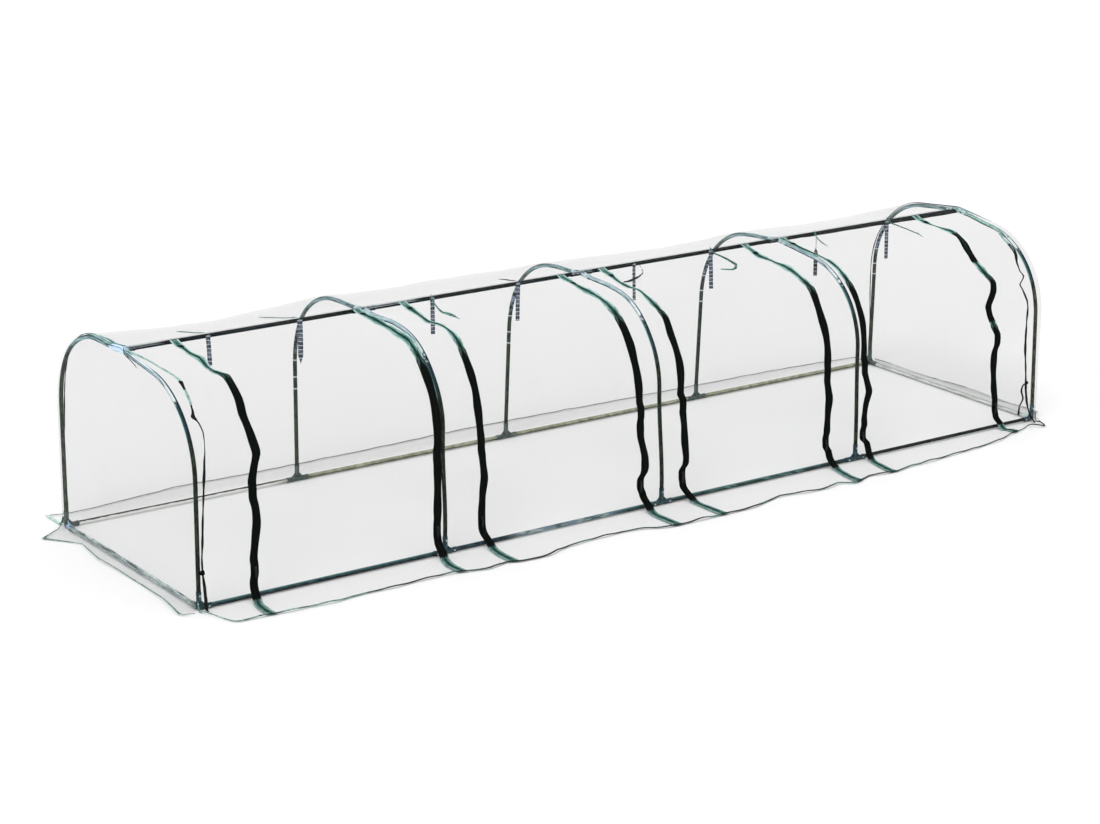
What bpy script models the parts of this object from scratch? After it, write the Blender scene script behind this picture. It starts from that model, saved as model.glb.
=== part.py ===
"""Tunnel greenhouse: a push-fit steel tube frame under a clear film cover with four zipped door flaps.

Metres, +Z up. +X runs along the tunnel, the door flaps face -Y, and the origin is on the ground in the middle.
"""

import math

import bmesh
import bpy
from mathutils import Matrix, Vector

# ---- driving dimensions -------------------------------------------------
BAY = 0.985            # hoop to hoop
HOOPS = [-2 * BAY, -BAY, 0.0, BAY, 2 * BAY]
HALF_WIDTH = 0.51      # tunnel axis to leg axis
RIDGE_Z = 0.805        # ridge tube axis
CORNER_R = 0.32        # bend of the hoop's shoulder
CORNER_Z = 0.46        # height where the straight leg ends
TUBE_R = 0.0082        # tube, over its corners
TUBE_WALL = 0.0005
SIDES = 8
BORE_R = 0.0092        # socket bore, over its corners
SOCKET_R = 0.0108      # socket outside, over its corners
FLAT = math.cos(math.pi / SIDES)
BASE_Z = SOCKET_R * FLAT   # the base sockets rest on a flat
CORE = 0.012           # solid middle of a push-fit joint
TUBE_GAP = 0.0135      # joint middle to tube end
ARM = 0.048            # length of a level socket
LEG_ARM = 0.066        # length of an upright socket
HOOP_ARM = 0.055       # length of a hoop socket at the ridge

FILM_OFF = 0.0108      # tube axis to the film's inner face
FILM_T = 0.0002
TAPE_W = 0.0165        # half a zip, one tape
TAPE_T = 0.0010        # film and tape together
ZIP_GAP = 0.0006       # zip centre line to either tape
FOOT_R = 0.060         # curve where the wall turns out into the skirt
SKIRT_Y = 0.70         # reach of the long skirts
END_X = HOOPS[-1] + 0.0112   # inner face of an end panel
SHEET_X = HOOPS[-1] + 0.0105  # end of the long sheets
END_FOOT_R = 0.02
SKIRT_X = 2.05         # reach of the end skirts
SEAM_Y = 0.012         # the back sheet laps this far over the ridge
SEAM_GAP = 0.0014      # the tie ribbons pass through here
ZIPS = [-1.755, -1.006, -0.812, -0.092, 0.108, 0.825, 1.018, 1.741]
SLIDER_Z = 0.112       # zip slider when the door is shut
TIES = [-1.640, -1.265, -0.695, -0.305, 0.245, 0.625, 1.175, 1.560]   # tie ribbons along the ridge, two in each bay
TIE_W = 0.016
TIE_T = 0.0006
TIE_IN = 0.145         # ribbon hanging inside
TIE_OUT = 0.125        # ribbon lying on the back of the roof

YC = HALF_WIDTH - CORNER_R
_reach = math.hypot(YC, RIDGE_Z - CORNER_Z)
CROWN = math.atan2(RIDGE_Z - CORNER_Z, -YC) - math.acos(CORNER_R / _reach)  # where the shoulder meets the crown
SLOPE = math.pi / 2 - CROWN   # fall of the straight crown

for old in list(bpy.data.objects):
    bpy.data.objects.remove(old)

scene = bpy.context.scene
parts = bpy.data.collections.new("tunnel_greenhouse")
tools = bpy.data.collections.new("cutters")
scene.collection.children.link(parts)
scene.collection.children.link(tools)
tools.hide_render = True


# ---- materials ----------------------------------------------------------
def material(name, colour, roughness, metallic=0.0, alpha=1.0):
    m = bpy.data.materials.new(name)
    m.use_nodes = True
    shader = m.node_tree.nodes["Principled BSDF"]
    shader.inputs["Base Color"].default_value = (*colour, 1.0)
    shader.inputs["Roughness"].default_value = roughness
    shader.inputs["Metallic"].default_value = metallic
    shader.inputs["Alpha"].default_value = alpha
    m.diffuse_color = (*colour, alpha)
    return m


TUBE_PAINT = material("tube_green", (0.045, 0.085, 0.065), 0.38, 0.3)
JOINT = material("joint_green", (0.03, 0.07, 0.075), 0.45)
FILM = material("clear_film", (0.86, 0.88, 0.88), 0.12, 0.0, 0.2)
DOOR_FILM = material("door_film", (0.86, 0.88, 0.88), 0.12, 0.0, 0.2)
SLIDER = material("slider_black", (0.015, 0.018, 0.018), 0.35, 0.6)
RIBBON = material("tie_ribbon", (0.05, 0.09, 0.1), 0.8)


# ---- helpers ------------------------------------------------------------
def put(name, mesh, mat, location=(0, 0, 0), matrix=None):
    obj = bpy.data.objects.new(name, mesh)
    parts.objects.link(obj)
    if matrix is not None:
        obj.matrix_world = matrix
    obj.location = Vector(location) + (matrix.translation if matrix is not None else Vector())
    if not mesh.materials:
        mesh.materials.append(mat)
    return obj


def evaluated_mesh(obj, name):
    bpy.context.view_layer.update()
    graph = bpy.context.evaluated_depsgraph_get()
    mesh = bpy.data.meshes.new_from_object(obj.evaluated_get(graph), depsgraph=graph)
    mesh.name = name
    return mesh


def frame_along(direction, up):
    """A rotation whose Z is the direction and whose Y is as near to up as it can be."""
    z = Vector(direction).normalized()
    x = Vector(up).cross(z).normalized()
    y = z.cross(x)
    return Matrix((x, y, z)).transposed().to_4x4()


def prism(name, radius, start, end, up):
    """An eight-sided bar from start to end, with a flat side facing up."""
    start, end = Vector(start), Vector(end)
    bm = bmesh.new()
    bmesh.ops.create_cone(bm, cap_ends=True, segments=SIDES, radius1=radius, radius2=radius, depth=(end - start).length)
    bmesh.ops.rotate(bm, verts=bm.verts, matrix=Matrix.Rotation(math.pi / SIDES, 3, "Z"))
    mesh = bpy.data.meshes.new(name)
    bm.to_mesh(mesh)
    bm.free()
    obj = bpy.data.objects.new(name, mesh)
    tools.objects.link(obj)
    obj.matrix_world = Matrix.Translation((start + end) / 2) @ frame_along(end - start, up)
    obj.hide_render = True
    obj.display_type = "WIRE"
    return obj


def boolean(obj, other, operation):
    cut = obj.modifiers.new(f"{operation.lower()}_{other.name}", "BOOLEAN")
    cut.operation = operation
    cut.solver = "EXACT"
    cut.object = other
    return cut


def joint_mesh(name, runs, bores):
    """A push-fit joint. runs are its outer bars and bores its sockets, each (radius or None, from, to, up)."""
    bars = [prism(f"{name}_bar_{i}", r, a, b, up) for i, (r, a, b, up) in enumerate(runs)]
    holes = [prism(f"{name}_bore_{i}", BORE_R, a, b, up) for i, (a, b, up) in enumerate(bores)]
    for other in bars[1:]:
        boolean(bars[0], other, "UNION")
    for hole in holes:
        boolean(bars[0], hole, "DIFFERENCE")
    mesh = evaluated_mesh(bars[0], name)
    mesh.transform(bars[0].matrix_world)
    for temporary in bars + holes:
        bpy.data.objects.remove(temporary)
    return mesh


def tube(name, points, mat):
    """A thin-walled steel tube along straight or closely spaced points, open at both ends."""
    curve = bpy.data.curves.new(name + "_line", "CURVE")
    curve.dimensions = "3D"
    curve.bevel_depth = TUBE_R
    curve.bevel_resolution = 2
    curve.use_fill_caps = False
    spline = curve.splines.new("POLY")
    spline.points.add(len(points) - 1)
    for at, p in zip(spline.points, points):
        at.co = (*p, 1.0)
    line = bpy.data.objects.new(name + "_line", curve)
    tools.objects.link(line)
    mesh = evaluated_mesh(line, name)
    bpy.data.objects.remove(line)
    bm = bmesh.new()
    bm.from_mesh(mesh)
    bmesh.ops.remove_doubles(bm, verts=bm.verts, dist=1e-6)
    # face the tube's wall outwards, away from its own line
    for face in bm.faces:
        middle = face.calc_center_median()
        near = min((nearest_on(a, b, middle) for a, b in zip(map(Vector, points), map(Vector, points[1:]))), key=lambda q: (q - middle).length)
        if face.normal.dot(middle - near) < 0:
            face.normal_flip()
    bm.to_mesh(mesh)
    bm.free()
    mesh.shade_smooth()
    mesh.set_sharp_from_angle(angle=math.radians(50))
    obj = put(name, mesh, mat)
    wall = obj.modifiers.new("wall", "SOLIDIFY")
    wall.thickness = TUBE_WALL
    wall.offset = -1
    wall.use_even_offset = True
    return obj


def nearest_on(a, b, p):
    d = b - a
    t = max(0.0, min(1.0, (p - a).dot(d) / d.length_squared))
    return a + d * t


# ---- push-fit joints ----------------------------------------------------
UP, FRONT = (0, 0, 1), (0, -1, 0)
hoop_dir = {s: Vector((0, s * math.cos(SLOPE), -math.sin(SLOPE))) for s in (-1, 1)}


def arm(direction, length):
    d = Vector(direction).normalized()
    return d * CORE, d * (length + 0.01)


def corner_joint(name, sx, sy):
    """Three sockets: along the long side, along the end, and up for the leg."""
    runs = [
        (SOCKET_R, (-sx * 0.0098, 0, 0), (sx * ARM, 0, 0), UP),
        (SOCKET_R - 0.0001, (0, -sy * 0.0096, 0), (0, sy * ARM, 0), UP),
        (SOCKET_R - 0.0002, (0, 0, -0.0050), (0, 0, LEG_ARM - BASE_Z), FRONT),
    ]
    bores = [
        (*arm((sx, 0, 0), ARM), UP),
        (*arm((0, sy, 0), ARM), UP),
        (*arm((0, 0, 1), LEG_ARM), FRONT),
    ]
    return joint_mesh(name, runs, bores)


def tee_mesh():
    """Two sockets along the side and one up for the leg."""
    runs = [
        (SOCKET_R, (-ARM, 0, 0), (ARM, 0, 0), UP),
        (SOCKET_R - 0.0002, (0, 0, -0.0050), (0, 0, LEG_ARM - BASE_Z), FRONT),
    ]
    bores = [(*arm((1, 0, 0), ARM), UP), (*arm((-1, 0, 0), ARM), UP), (*arm((0, 0, 1), LEG_ARM), FRONT)]
    return joint_mesh("base_tee", runs, bores)


def ridge_joint(name, ways):
    """Ridge sockets along X in the given ways, and two sockets falling to the hoop's halves."""
    low, high = (-ARM if -1 in ways else -0.0098), (ARM if 1 in ways else 0.0098)
    runs = [(SOCKET_R, (low, 0, 0), (high, 0, 0), UP)]
    for s, trim in ((-1, 0.0001), (1, 0.0002)):
        d = hoop_dir[s]
        runs.append((SOCKET_R - trim, -d * 0.0040, d * HOOP_ARM, UP))
    bores = [(*arm((w, 0, 0), ARM), UP) for w in ways]
    bores += [(*arm(hoop_dir[s], HOOP_ARM), UP) for s in (-1, 1)]
    return joint_mesh(name, runs, bores)


for end, x in (("left", HOOPS[0]), ("right", HOOPS[-1])):
    for side, y in (("front", -HALF_WIDTH), ("back", HALF_WIDTH)):
        put(f"corner_joint_{side}_{end}", corner_joint(f"corner_{side}_{end}", 1 if x < 0 else -1, 1 if y < 0 else -1), JOINT, (x, y, BASE_Z))
tee = tee_mesh()
for i in (1, 2, 3):
    for side, y in (("front", -HALF_WIDTH), ("back", HALF_WIDTH)):
        put(f"base_tee_{side}_{i + 1}", tee, JOINT, (HOOPS[i], y, BASE_Z))
put("ridge_tee_left", ridge_joint("ridge_tee_l", (1,)), JOINT, (HOOPS[0], 0, RIDGE_Z))
put("ridge_tee_right", ridge_joint("ridge_tee_r", (-1,)), JOINT, (HOOPS[-1], 0, RIDGE_Z))
cross = ridge_joint("ridge_cross", (-1, 1))
for i in (1, 2, 3):
    put(f"ridge_cross_{i + 1}", cross, JOINT, (HOOPS[i], 0, RIDGE_Z))


# ---- tubes --------------------------------------------------------------
def half_hoop(x, s):
    """The line of a hoop's half: up the leg, round the shoulder, up the crown to the ridge."""
    points = [(x, s * HALF_WIDTH, BASE_Z + TUBE_GAP), (x, s * HALF_WIDTH, CORNER_Z - 0.0001)]
    steps = 8
    for k in range(1, steps + 1):
        a = CROWN * k / steps
        points.append((x, s * (YC + CORNER_R * math.cos(a)), CORNER_Z + CORNER_R * math.sin(a)))
    end = Vector((x, 0, RIDGE_Z)) + hoop_dir[s] * TUBE_GAP
    points.append(tuple(end))
    return points


for i, x in enumerate(HOOPS):
    tube(f"hoop_{i + 1}_front_tube", half_hoop(x, -1), TUBE_PAINT)
    tube(f"hoop_{i + 1}_back_tube", half_hoop(x, 1), TUBE_PAINT)
for i in range(4):
    a, b = HOOPS[i] + TUBE_GAP, HOOPS[i + 1] - TUBE_GAP
    tube(f"ridge_tube_{i + 1}", [(a, 0, RIDGE_Z), (b, 0, RIDGE_Z)], TUBE_PAINT)
    tube(f"front_rail_{i + 1}", [(a, -HALF_WIDTH, BASE_Z), (b, -HALF_WIDTH, BASE_Z)], TUBE_PAINT)
    tube(f"back_rail_{i + 1}", [(a, HALF_WIDTH, BASE_Z), (b, HALF_WIDTH, BASE_Z)], TUBE_PAINT)
for end, x in (("left", HOOPS[0]), ("right", HOOPS[-1])):
    tube(f"end_rail_{end}", [(x, -HALF_WIDTH + TUBE_GAP, BASE_Z), (x, HALF_WIDTH - TUBE_GAP, BASE_Z)], TUBE_PAINT)


# ---- film cover ---------------------------------------------------------
def profile(offset, s, first):
    """Half the sheet's section as (y, z), from near the ridge to the skirt's edge. first is how far from the tunnel's axis it starts."""
    raise_by = offset - FILM_OFF
    apex = RIDGE_Z + offset / math.cos(SLOPE)
    line = [(first, apex - first * math.tan(SLOPE))]
    steps = 8
    for k in range(steps + 1):
        a = CROWN * (1 - k / steps)
        line.append((YC + (CORNER_R + offset) * math.cos(a), CORNER_Z + (CORNER_R + offset) * math.sin(a)))
    cy, cz = HALF_WIDTH + FILM_OFF + FOOT_R, FOOT_R
    for k in range(4):
        a = math.pi + math.pi / 2 * k / 3
        r = FOOT_R - raise_by
        line.append((cy + r * math.cos(a), cz + r * math.sin(a)))
    line.append((SKIRT_Y, raise_by))
    return [(s * y, z) for y, z in line]


def section(x0, x1, left_tape, right_tape):
    """The sheet cut across: (place along the tunnel, height over its inner face). A sewn tape thickens an edge."""
    cut = [(x0, 0.0), (x1, 0.0)]
    if right_tape:
        cut += [(x1, TAPE_T), (x1 - TAPE_W, TAPE_T), (x1 - TAPE_W, FILM_T)]
    else:
        cut += [(x1, FILM_T)]
    if left_tape:
        cut += [(x0 + TAPE_W, FILM_T), (x0 + TAPE_W, TAPE_T), (x0, TAPE_T)]
    else:
        cut += [(x0, FILM_T)]
    return cut


def sheet(name, cut, lines, mat):
    """A sheet lofted down its profile. lines gives the profile at each height over the inner face."""
    bm = bmesh.new()
    rows = [[bm.verts.new((x, *point)) for point in lines(height)] for x, height in cut]
    for row, following in zip(rows, rows[1:] + rows[:1]):
        for a, b, c, d in zip(row, row[1:], following[1:], following):
            bm.faces.new((a, b, c, d))
    bm.faces.new([row[0] for row in rows])
    bm.faces.new([row[-1] for row in rows])
    bmesh.ops.recalc_face_normals(bm, faces=bm.faces)
    mesh = bpy.data.meshes.new(name)
    bm.to_mesh(mesh)
    bm.free()
    return put(name, mesh, mat)


first = SEAM_Y + SEAM_GAP


def front_lines(height):
    return profile(FILM_OFF + height, -1, first)


def back_lines(height):
    lap = profile(FILM_OFF + height, -1, SEAM_Y)[0]
    return [lap] + profile(FILM_OFF + height, 1, 0.0)


sheet("cover_back_sheet", section(-SHEET_X, SHEET_X, False, False), back_lines, FILM)
edges = [-SHEET_X] + ZIPS + [SHEET_X]
for n in range(5):
    a, b = edges[2 * n], edges[2 * n + 1]
    left, right = n > 0, n < 4
    cut = section(a + (ZIP_GAP if left else 0), b - (ZIP_GAP if right else 0), left, right)
    sheet(f"cover_front_strip_{n + 1}", cut, front_lines, FILM)
for n in range(4):
    a, b = ZIPS[2 * n], ZIPS[2 * n + 1]
    sheet(f"door_flap_{n + 1}", section(a + ZIP_GAP, b - ZIP_GAP, True, True), front_lines, DOOR_FILM)


def end_panel(name, sx):
    """The arched end sheet, with its foot turned out into a short skirt."""
    rim = FILM_OFF + FILM_T
    half = [(0.0, RIDGE_Z + rim / math.cos(SLOPE))]
    steps = 8
    for k in range(steps + 1):
        a = CROWN * (1 - k / steps)
        half.append((YC + (CORNER_R + rim) * math.cos(a), CORNER_Z + (CORNER_R + rim) * math.sin(a)))
    half.append((HALF_WIDTH + rim, END_FOOT_R))
    outline = half + [(-y, z) for y, z in reversed(half[1:])]
    bm = bmesh.new()
    face = bm.faces.new([bm.verts.new((sx * END_X, y, z)) for y, z in outline])
    foot = min(face.edges, key=lambda e: sum(v.co.z for v in e.verts))
    turn = 3
    steps_out = []
    for k in range(1, turn + 1):
        a0, a1 = math.pi / 2 * (k - 1) / turn, math.pi / 2 * k / turn
        steps_out.append((END_FOOT_R * (math.cos(a0) - math.cos(a1)), -END_FOOT_R * (math.sin(a1) - math.sin(a0))))
    steps_out.append((SKIRT_X - END_X - END_FOOT_R, 0.0))
    for dx, dz in steps_out:
        made = bmesh.ops.extrude_edge_only(bm, edges=[foot])["geom"]
        bmesh.ops.translate(bm, verts=[v for v in made if isinstance(v, bmesh.types.BMVert)], vec=(sx * dx, 0, dz))
        foot = max((e for e in made if isinstance(e, bmesh.types.BMEdge) and len(e.link_faces) == 1 and abs(e.verts[0].co.z - e.verts[1].co.z) < 1e-9), key=lambda e: abs(e.verts[0].co.x))
    bmesh.ops.recalc_face_normals(bm, faces=bm.faces)
    big = max(bm.faces, key=lambda f: f.calc_area())
    if big.normal.x * sx < 0:
        bmesh.ops.reverse_faces(bm, faces=bm.faces)
    mesh = bpy.data.meshes.new(name)
    bm.to_mesh(mesh)
    bm.free()
    obj = put(name, mesh, FILM)
    thick = obj.modifiers.new("thickness", "SOLIDIFY")
    thick.thickness = FILM_T
    thick.offset = 1
    thick.use_even_offset = True
    return obj


end_panel("cover_end_left", -1)
end_panel("cover_end_right", 1)


# ---- ridge tape with the tie ribbons ------------------------------------
def prism_along_x(name, outline, x0, x1):
    """A bar along the tunnel with the given (y, z) outline."""
    bm = bmesh.new()
    base = bm.faces.new([bm.verts.new((x0, y, z)) for y, z in outline])
    made = bmesh.ops.extrude_face_region(bm, geom=[base])["geom"]
    bmesh.ops.translate(bm, verts=[v for v in made if isinstance(v, bmesh.types.BMVert)], vec=(x1 - x0, 0, 0))
    bmesh.ops.recalc_face_normals(bm, faces=bm.faces)
    mesh = bpy.data.meshes.new(name)
    bm.to_mesh(mesh)
    bm.free()
    obj = bpy.data.objects.new(name, mesh)
    tools.objects.link(obj)
    obj.hide_render = True
    obj.display_type = "WIRE"
    return obj


def roof_z(height, y):
    """Height of a layer of the roof, that far over the film's inner face, at a place near the ridge."""
    return RIDGE_Z + (FILM_OFF + height) / math.cos(SLOPE) - abs(y) * math.tan(SLOPE)


def tie_tape():
    """The tape along the ridge seam. Each ribbon is sewn to it, one end inside and the other over the roof."""
    low, high = FILM_T + 0.0004, FILM_T + 0.0004 + TIE_T
    y0, y1 = -(SEAM_Y + 0.0004 + TIE_T), -0.002
    outline = [(y, roof_z(low, y)) for y in (y0, y1)] + [(y, roof_z(high, y)) for y in (y1, y0)]
    tape = prism_along_x("ridge_tape", outline, -SHEET_X, SHEET_X)
    tips = []
    for x in TIES:
        top = roof_z((low + high) / 2, y0)
        hang = [(y0 + 0.00004, top), (y0 + 0.00004, top - TIE_IN), (y0 + TIE_T, top - TIE_IN), (y0 + TIE_T, top)]
        tips.append(prism_along_x("ribbon_in", hang, x - TIE_W / 2, x + TIE_W / 2))
        mid = y1 - 0.003
        over = [(y, roof_z(low + 0.00003, y)) for y in (mid, 0.0, TIE_OUT)]
        over += [(y, roof_z(high + 0.00003, y)) for y in (TIE_OUT, 0.0, mid)]
        tips.append(prism_along_x("ribbon_out", over, x - TIE_W / 2, x + TIE_W / 2))
    for tip in tips:
        boolean(tape, tip, "UNION")
    mesh = evaluated_mesh(tape, "ridge_tie_tape")
    for temporary in [tape] + tips:
        bpy.data.objects.remove(temporary)
    return mesh


put("ridge_tie_tape", tie_tape(), RIBBON)


# ---- zip sliders --------------------------------------------------------
def block(name, size, at, bevel):
    bm = bmesh.new()
    bmesh.ops.create_cube(bm, size=1.0)
    bmesh.ops.scale(bm, verts=bm.verts, vec=size)
    bmesh.ops.translate(bm, verts=bm.verts, vec=at)
    mesh = bpy.data.meshes.new(name)
    bm.to_mesh(mesh)
    bm.free()
    obj = bpy.data.objects.new(name, mesh)
    tools.objects.link(obj)
    obj.hide_render = True
    obj.display_type = "WIRE"
    round_off = obj.modifiers.new("edges", "BEVEL")
    round_off.width = bevel
    round_off.segments = 1
    round_off.limit_method = "ANGLE"
    return obj


def slider_mesh():
    """Slider body, bridge and pull tab. Its origin is on the zip's centre line at the tape's face, and -Y is outwards."""
    body = block("slider_body", (0.0100, 0.0045, 0.0140), (0, -0.0027, 0), 0.0010)
    bridge = block("slider_bridge", (0.0032, 0.0040, 0.0090), (0, -0.0062, 0.0005), 0.0005)
    tab = block("slider_tab", (0.0078, 0.0016, 0.0360), (0, -0.0075, -0.0170), 0.0005)
    hole = prism("slider_hole", 0.0020, (0, -0.02, -0.0300), (0, 0.01, -0.0300), UP)
    boolean(body, bridge, "UNION")
    boolean(body, tab, "UNION")
    boolean(body, hole, "DIFFERENCE")
    mesh = evaluated_mesh(body, "zip_slider")
    for temporary in (body, bridge, tab, hole):
        bpy.data.objects.remove(temporary)
    return mesh


slider = slider_mesh()
TAPE_FACE_Y = -(HALF_WIDTH + FILM_OFF + TAPE_T)
for n in range(4):
    for side, x in (("left", ZIPS[2 * n]), ("right", ZIPS[2 * n + 1])):
        put(f"zip_slider_{n + 1}_{side}", slider, SLIDER, (x, TAPE_FACE_Y, SLIDER_Z))
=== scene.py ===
"""Looks of the tunnel greenhouse: clear film cover, zipped doors, painted tube frame, moulded joints and tie ribbons.

Metres, +Z up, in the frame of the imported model.
"""

import math

import bpy
import numpy as np
from mathutils import Matrix, Vector


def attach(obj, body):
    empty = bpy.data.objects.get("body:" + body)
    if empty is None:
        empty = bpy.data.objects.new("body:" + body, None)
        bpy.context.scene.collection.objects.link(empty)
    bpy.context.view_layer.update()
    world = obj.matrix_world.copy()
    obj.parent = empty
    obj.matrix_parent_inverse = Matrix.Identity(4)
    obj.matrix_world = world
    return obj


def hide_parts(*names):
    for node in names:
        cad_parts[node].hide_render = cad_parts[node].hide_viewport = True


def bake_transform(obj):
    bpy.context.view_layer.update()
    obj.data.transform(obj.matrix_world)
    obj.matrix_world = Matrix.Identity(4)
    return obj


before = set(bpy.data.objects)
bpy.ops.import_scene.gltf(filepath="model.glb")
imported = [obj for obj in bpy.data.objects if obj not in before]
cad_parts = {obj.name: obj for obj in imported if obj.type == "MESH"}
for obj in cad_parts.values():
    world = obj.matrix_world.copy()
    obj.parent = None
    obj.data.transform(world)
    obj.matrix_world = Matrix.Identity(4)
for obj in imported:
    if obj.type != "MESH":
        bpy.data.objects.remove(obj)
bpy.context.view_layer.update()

# ---- dimensions, the same as the frame's --------------------------------
BAY = 0.985
HOOPS = np.array([-2 * BAY, -BAY, 0.0, BAY, 2 * BAY])
HALF_WIDTH = 0.51
RIDGE_Z = 0.805
CORNER_R = 0.32
CORNER_Z = 0.46
BASE_Z = 0.009978
TUBE_R = 0.0079
TUBE_GAP = 0.0135
ARM = 0.048
LEG_ARM = 0.066
HOOP_ARM = 0.055
FILM_OFF = 0.0108
TAPE_W = 0.0165
ZIP_GAP = 0.0006
FOOT_R = 0.060
SKIRT_Y = 0.70
END_X = 1.9812
END_FOOT_R = 0.02
SKIRT_X = 2.05
ZIPS = [-1.755, -1.006, -0.812, -0.092, 0.108, 0.825, 1.018, 1.741]
SLIDER_Z = 0.112
TRAVEL = 0.28
TIES = [-1.640, -1.265, -0.695, -0.305, 0.245, 0.625, 1.175, 1.560]

YC = HALF_WIDTH - CORNER_R
_reach = math.hypot(YC, RIDGE_Z - CORNER_Z)
CROWN = math.atan2(RIDGE_Z - CORNER_Z, -YC) - math.acos(CORNER_R / _reach)
SLOPE = math.pi / 2 - CROWN
SIN, COS = math.sin(SLOPE), math.cos(SLOPE)
R_FILM = CORNER_R + FILM_OFF
WALL_Y = HALF_WIDTH + FILM_OFF
APEX = RIDGE_Z + FILM_OFF / COS
FOOT_Y = WALL_Y + FOOT_R
S_CROWN = (YC + R_FILM * math.cos(CROWN)) / COS
S_ARC = S_CROWN + R_FILM * CROWN
S_WALL = S_ARC + CORNER_Z - FOOT_R
S_FOOT = S_WALL + FOOT_R * math.pi / 2
S_EDGE = S_FOOT + SKIRT_Y - FOOT_Y
S_FIRST = 0.0134 / COS

# ---- camera -------------------------------------------------------------
AZIMUTH, ELEVATION, ROLL = math.radians(-35.3623), math.radians(17.1042), math.radians(0.4754)
TO_CAMERA = Vector((math.sin(AZIMUTH) * math.cos(ELEVATION), -math.cos(AZIMUTH) * math.cos(ELEVATION), math.sin(ELEVATION)))
CAMERA_AT = Vector((-0.1417, 0.0, 0.2663)) + TO_CAMERA * 11.0451


def make_camera():
    data = bpy.data.cameras.new("camera")
    data.sensor_fit = "HORIZONTAL"
    data.sensor_width = 36.0
    data.lens = 2837.02 / 1100 * 36.0
    data.clip_end = 200.0
    cam = bpy.data.objects.new("camera", data)
    bpy.context.scene.collection.objects.link(cam)
    right = (-TO_CAMERA).cross(Vector((0, 0, 1))).normalized()
    up = right.cross(-TO_CAMERA)
    r = right * math.cos(ROLL) + up * math.sin(ROLL)
    u = up * math.cos(ROLL) - right * math.sin(ROLL)
    turn = Matrix((r, u, TO_CAMERA)).transposed()
    cam.matrix_world = Matrix.Translation(CAMERA_AT) @ turn.to_4x4()
    bpy.context.scene.camera = cam


make_camera()


# ---- small helpers ------------------------------------------------------
def ease(a, b, x):
    t = np.clip((np.asarray(x, float) - a) / (b - a), 0, 1)
    return t * t * (3 - 2 * t)


def soften(values, step, width):
    """Values at an even step, smoothed over a width."""
    k = int(math.ceil(3 * width / step))
    w = np.exp(-0.5 * (np.arange(-k, k + 1) * step / width) ** 2)
    padded = np.pad(values, k, mode="edge")
    return np.convolve(padded, w / w.sum(), mode="valid")


def hoop_gap(x):
    return np.min(np.abs(np.asarray(x, float)[..., None] - HOOPS), axis=-1)


# ---- the cover's shape --------------------------------------------------
# A place on the cover is (x along the tunnel, s down from the ridge, h out of the film, side -1 front or 1 back).
def section_at(s):
    """The taut section: distance from the axis, height, and the outward direction."""
    s = np.asarray(s, float)
    a = CROWN - (s - S_CROWN) / R_FILM
    b = np.clip((s - S_WALL) / FOOT_R, 0, math.pi / 2)
    where = [s < 0, s < S_CROWN, s < S_ARC, s < S_WALL, s < S_FOOT]
    one, none = np.ones_like(s), np.zeros_like(s)
    y = np.select(where, [s * COS, s * COS, YC + R_FILM * np.cos(a), WALL_Y * one, FOOT_Y - FOOT_R * np.cos(b)], FOOT_Y + s - S_FOOT)
    z = np.select(where, [APEX + s * SIN, APEX - s * SIN, CORNER_Z + R_FILM * np.sin(a), CORNER_Z - (s - S_ARC), FOOT_R * (1 - np.sin(b))], none)
    ny = np.select(where, [-SIN * one, SIN * one, np.cos(a), one, np.cos(b)], none)
    nz = np.select(where, [COS * one, COS * one, np.sin(a), none, np.sin(b)], one)
    return y, z, ny, nz


SAG = {-1: 0.032, 1: 0.024}
BACK_BAYS = [1.0, 0.15, 0.60, 0.40]   # how slack each bay of the back sheet is


def sag(x, s, side=-1):
    """The film hangs slack between the hoops, most on the roof's shoulder."""
    g = np.sqrt(hoop_gap(x) ** 2 + 0.03 ** 2) - 0.03
    q = np.clip(g / (BAY / 2 - 0.03), 0, 1)
    along = ease(0.0, 0.27, s) * (1 - 0.9 * ease(0.49, 0.76, s)) * (1 - ease(0.98, 1.10, s))
    bay = 1.0 if side < 0 else np.interp(x, HOOPS[:-1] + BAY / 2, BACK_BAYS)
    return -SAG[side] * bay * (1 - (1 - q) ** 2) * along


def swell(x, s, side):
    """The first hoops stand a little prouder at the shoulder, and the film with them."""
    if side < 0:
        return np.interp(x, HOOPS, [0.0, 0.011, 0.010, 0.0, 0.0]) * ease(0.03, 0.20, s) * (1 - ease(0.30, 0.52, s))
    return np.interp(x, HOOPS, [0.019, 0.018, 0.006, 0.001, 0.001]) * ease(0.02, 0.25, s) * (1 - ease(0.42, 0.72, s))


def ripple(x, s, side):
    """Shallow creases and slack, none where the film bears on a hoop, the ridge or the foot."""
    p = 0.6 if side < 0 else 2.3
    big = np.sin(5.3 * x + 3.1 * s + p) * np.sin(6.1 * s - 2.7 * x + 1.7 * p)
    mid = np.sin(17.0 * x + 6.0 * s + 2.1 * p) * np.sin(11.0 * s - 8.0 * x + p)
    fine = np.sin(43.0 * x - 19.0 * s + p) * np.sin(29.0 * s + 13.0 * x + 2.0 + p)
    pull = np.sin(61.0 * x + 9.0 * s + 0.7 * p) * ease(0.30, 0.55, s) * (1 - ease(0.75, 1.0, s))
    held = ease(0.004, 0.13, hoop_gap(x)) * ease(0.01, 0.14, s) * (1 - ease(1.00, 1.10, s))
    return held * (0.0030 * big + 0.0016 * mid + 0.0006 * fine + 0.0008 * pull)


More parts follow.
